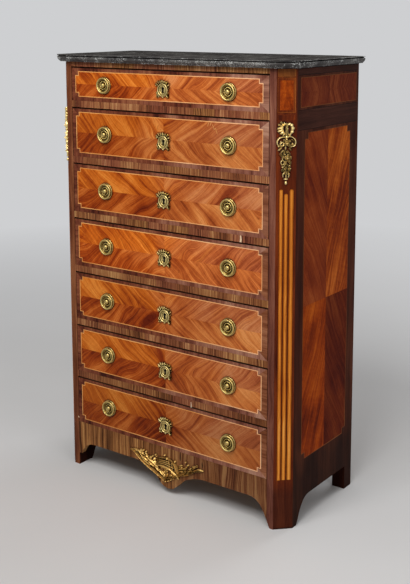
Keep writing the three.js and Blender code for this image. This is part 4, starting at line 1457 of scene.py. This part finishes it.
# Leaves of the mount: start, turn, length, width and bend
MOUNT_LEAVES = (
    (-36, 84, 58, 46, 13, 10), (-58, 96, 54, 40, 11, 14), (-80, 106, 56, 34, 10, 16),
    (-100, 114, 60, 28, 8, 18), (-42, 92, 24, 20, 11, 40), (-50, 84, 70, 30, 8, -10),
    (-78, 96, 66, 26, 8, 0), (-118, 120, 72, 24, 7, 12), (-66, 104, 16, 14, 8, 60),
    (-84, 114, 14, 14, 7, 60), (-104, 122, 20, 13, 6, 60), (-10, 62, 64, 26, 9, -20),
    (-4, 60, 36, 24, 9, 20), (-26, 72, 60, 26, 8, -10), (2, 62, -8, 16, 8, 0), (8, 62, -48, 26, 8, 10),
    (14, 88, -116, 26, 7, 0), (20, 68, -74, 30, 8, 20), (10, 90, -100, 18, 6, 0),
    (42, 78, -106, 14, 7, 30), (34, 118, -10, 12, 7, -30), (28, 84, -126, 20, 6, 0),
    (50, 100, -66, 28, 7, -20), (54, 94, -78, 28, 7, -16), (52, 108, -40, 20, 8, -50),
    (62, 86, -70, 26, 6, 10), (72, 100, -24, 22, 8, -60), (84, 116, -20, 14, 7, -60),
    (102, 116, -54, 34, 9, -22), (108, 106, -58, 26, 7, -10), (126, 120, -84, 28, 8, -12),
    (122, 128, -30, 10, 6, -60), (92, 92, -52, 24, 6, 0))
MOUNT_VOLUTES = (
    (98, 108, 8.5, 200, 1), (78, 100, 5.5, 240, -1), (-72, 112, 5.0, -60, 1), (-91, 119, 4.6, -60, 1),
    (112, 122, 4.4, 200, -1))
MOUNT_BEADS = (
    (-98, 131, 3.4), (-86, 129, 3.0), (-109, 127, 2.8), (-64, 115, 3.6), (-50, 112, 5.6), (-57, 121, 2.6),
    (-45, 128, 3.0), (-40, 124, 2.4), (-6, 136, 3.4), (4, 126, 4.4), (38, 125, 3.4), (-29, 79, 2.8),
    (-19, 76, 2.6), (-12, 46, 2.8), (-3, 44, 3.2), (9, 49, 3.0), (20, 56, 2.6), (31, 62, 2.4),
    (23, 72, 3.2), (82, 134, 2.6), (93, 127, 3.2), (86, 120, 2.8), (104, 118, 2.6), (66, 112, 2.8))
MOUNT_LENGTHS = (0.95, 1.05)  # how far the leaves' lengths vary, and their least and greatest height
MOUNT_HEIGHTS = (5.6, 8.4)
BACKING_HEIGHT = 0.6


def make_apron_mount():
    """Two leafy scrolls along the apron's edge, with a trellis over a bowl of leaves between them."""
    work = Shell(FRONT.moved(0, 0, VENEER), mount_bronze)
    # A dark backing inside the lunette: painted shade behind the trellis
    slab(work, [*LUNETTE, *FAN[1:-1], *SILL[-3:0:-1]], 0.0, BACKING_HEIGHT, mount_shade)
    for paths, *sizes in MOUNT_STRIPS:
        for path in paths:
            strip(work, path, *sizes)
    for u, v, turn, length, width, bend in MOUNT_LEAVES:
        length *= dice.uniform(*MOUNT_LENGTHS)
        leaf(work, (u, v), turn, length, width, dice.uniform(*MOUNT_HEIGHTS), bend)
    for u, v, radius, start, hand in MOUNT_VOLUTES:
        volute(work, (u, v), radius, 1.3, start, 1.9, 8.0, hand)
    flower(work, (-1, 82), 8.5, 10, 6)
    hoop(work, (-6, 67), 7.6, 1.2, 5.0)
    bead(work, (-6, 67), 5.0, 10)
    for u, v, radius in MOUNT_BEADS:
        bead(work, (u, v), radius, 8.5)
    piece = work.finish("apron_mount_cast", "case", smooth=55)
    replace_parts(piece, "apron_mount")


# Wear, in millimetres in the plane of the front

CHIPS = (
    ((292, 905), (299, 904), (300, 914), (298, 925), (293, 926), (293.5, 915)),
    ((101.5, 328), (104, 327), (104.5, 338), (103, 347), (101.5, 346), (102, 337)),
    ((-402, 178), (-399, 174), (-396, 176), (-398, 180), (-401, 181)))
KNOTS = (
    ((55, 132), (58, 131.5), (59.5, 146), (58, 162), (55.5, 161.5), (54.5, 146)),
    ((145, 130), (148, 129), (149.5, 139), (148, 149.5), (145.5, 149), (144.5, 139)))
SCRATCHES = (
    ((171, 1254), (178, 1271)), ((181, 1257), (187, 1272)),
    ((190, 1262), (196, 1246), (201, 1250), (208, 1233)))
SCRATCH_HALF = 0.55
PATCH_BASE = 0.5 * VENEER
PATCH_TOP = 1.15 * VENEER


def patch(shell, outline, material):
    """A small worn or mended place."""
    points = [(u * MM, v * MM) for u, v in outline]
    veneer(shell, points, material, UPRIGHT, low=PATCH_BASE, high=PATCH_TOP)


def wear_case():
    work = Shell(FRONT)
    for outlines, material in ((CHIPS, chip_wood), (KNOTS, knot_wood)):
        for outline in outlines:
            patch(work, outline, material)
    work.finish("old_chips", "case")
    scratches = Shell(FRONT)
    for line in SCRATCHES:
        path = smooth_path(line, 3)
        for start, end in zip(path, path[1:]):
            run = (end - start).normalized()
            side = Vector((run.y, -run.x, 0)) * SCRATCH_HALF
            corners = (start - side, end - side, end + side, start + side)
            patch(scratches, [corner.xy for corner in corners], scratch_wood)
    scratches.finish("drawer_2_scratches", "drawer_2")


def main():
    place_camera()
    light_studio()
    lay_floor()
    dress_case()
    for number in range(1, DRAWERS + 1):
        dress_drawer(number)
        for side in ("left", "right"):
            make_handle(number, side)
        make_escutcheon(number)
    lay_marble()
    for side in ("left", "right"):
        make_fall(side)
    make_apron_mount()
    wear_case()
    bpy.context.scene.view_settings.view_transform = "Standard"


main()
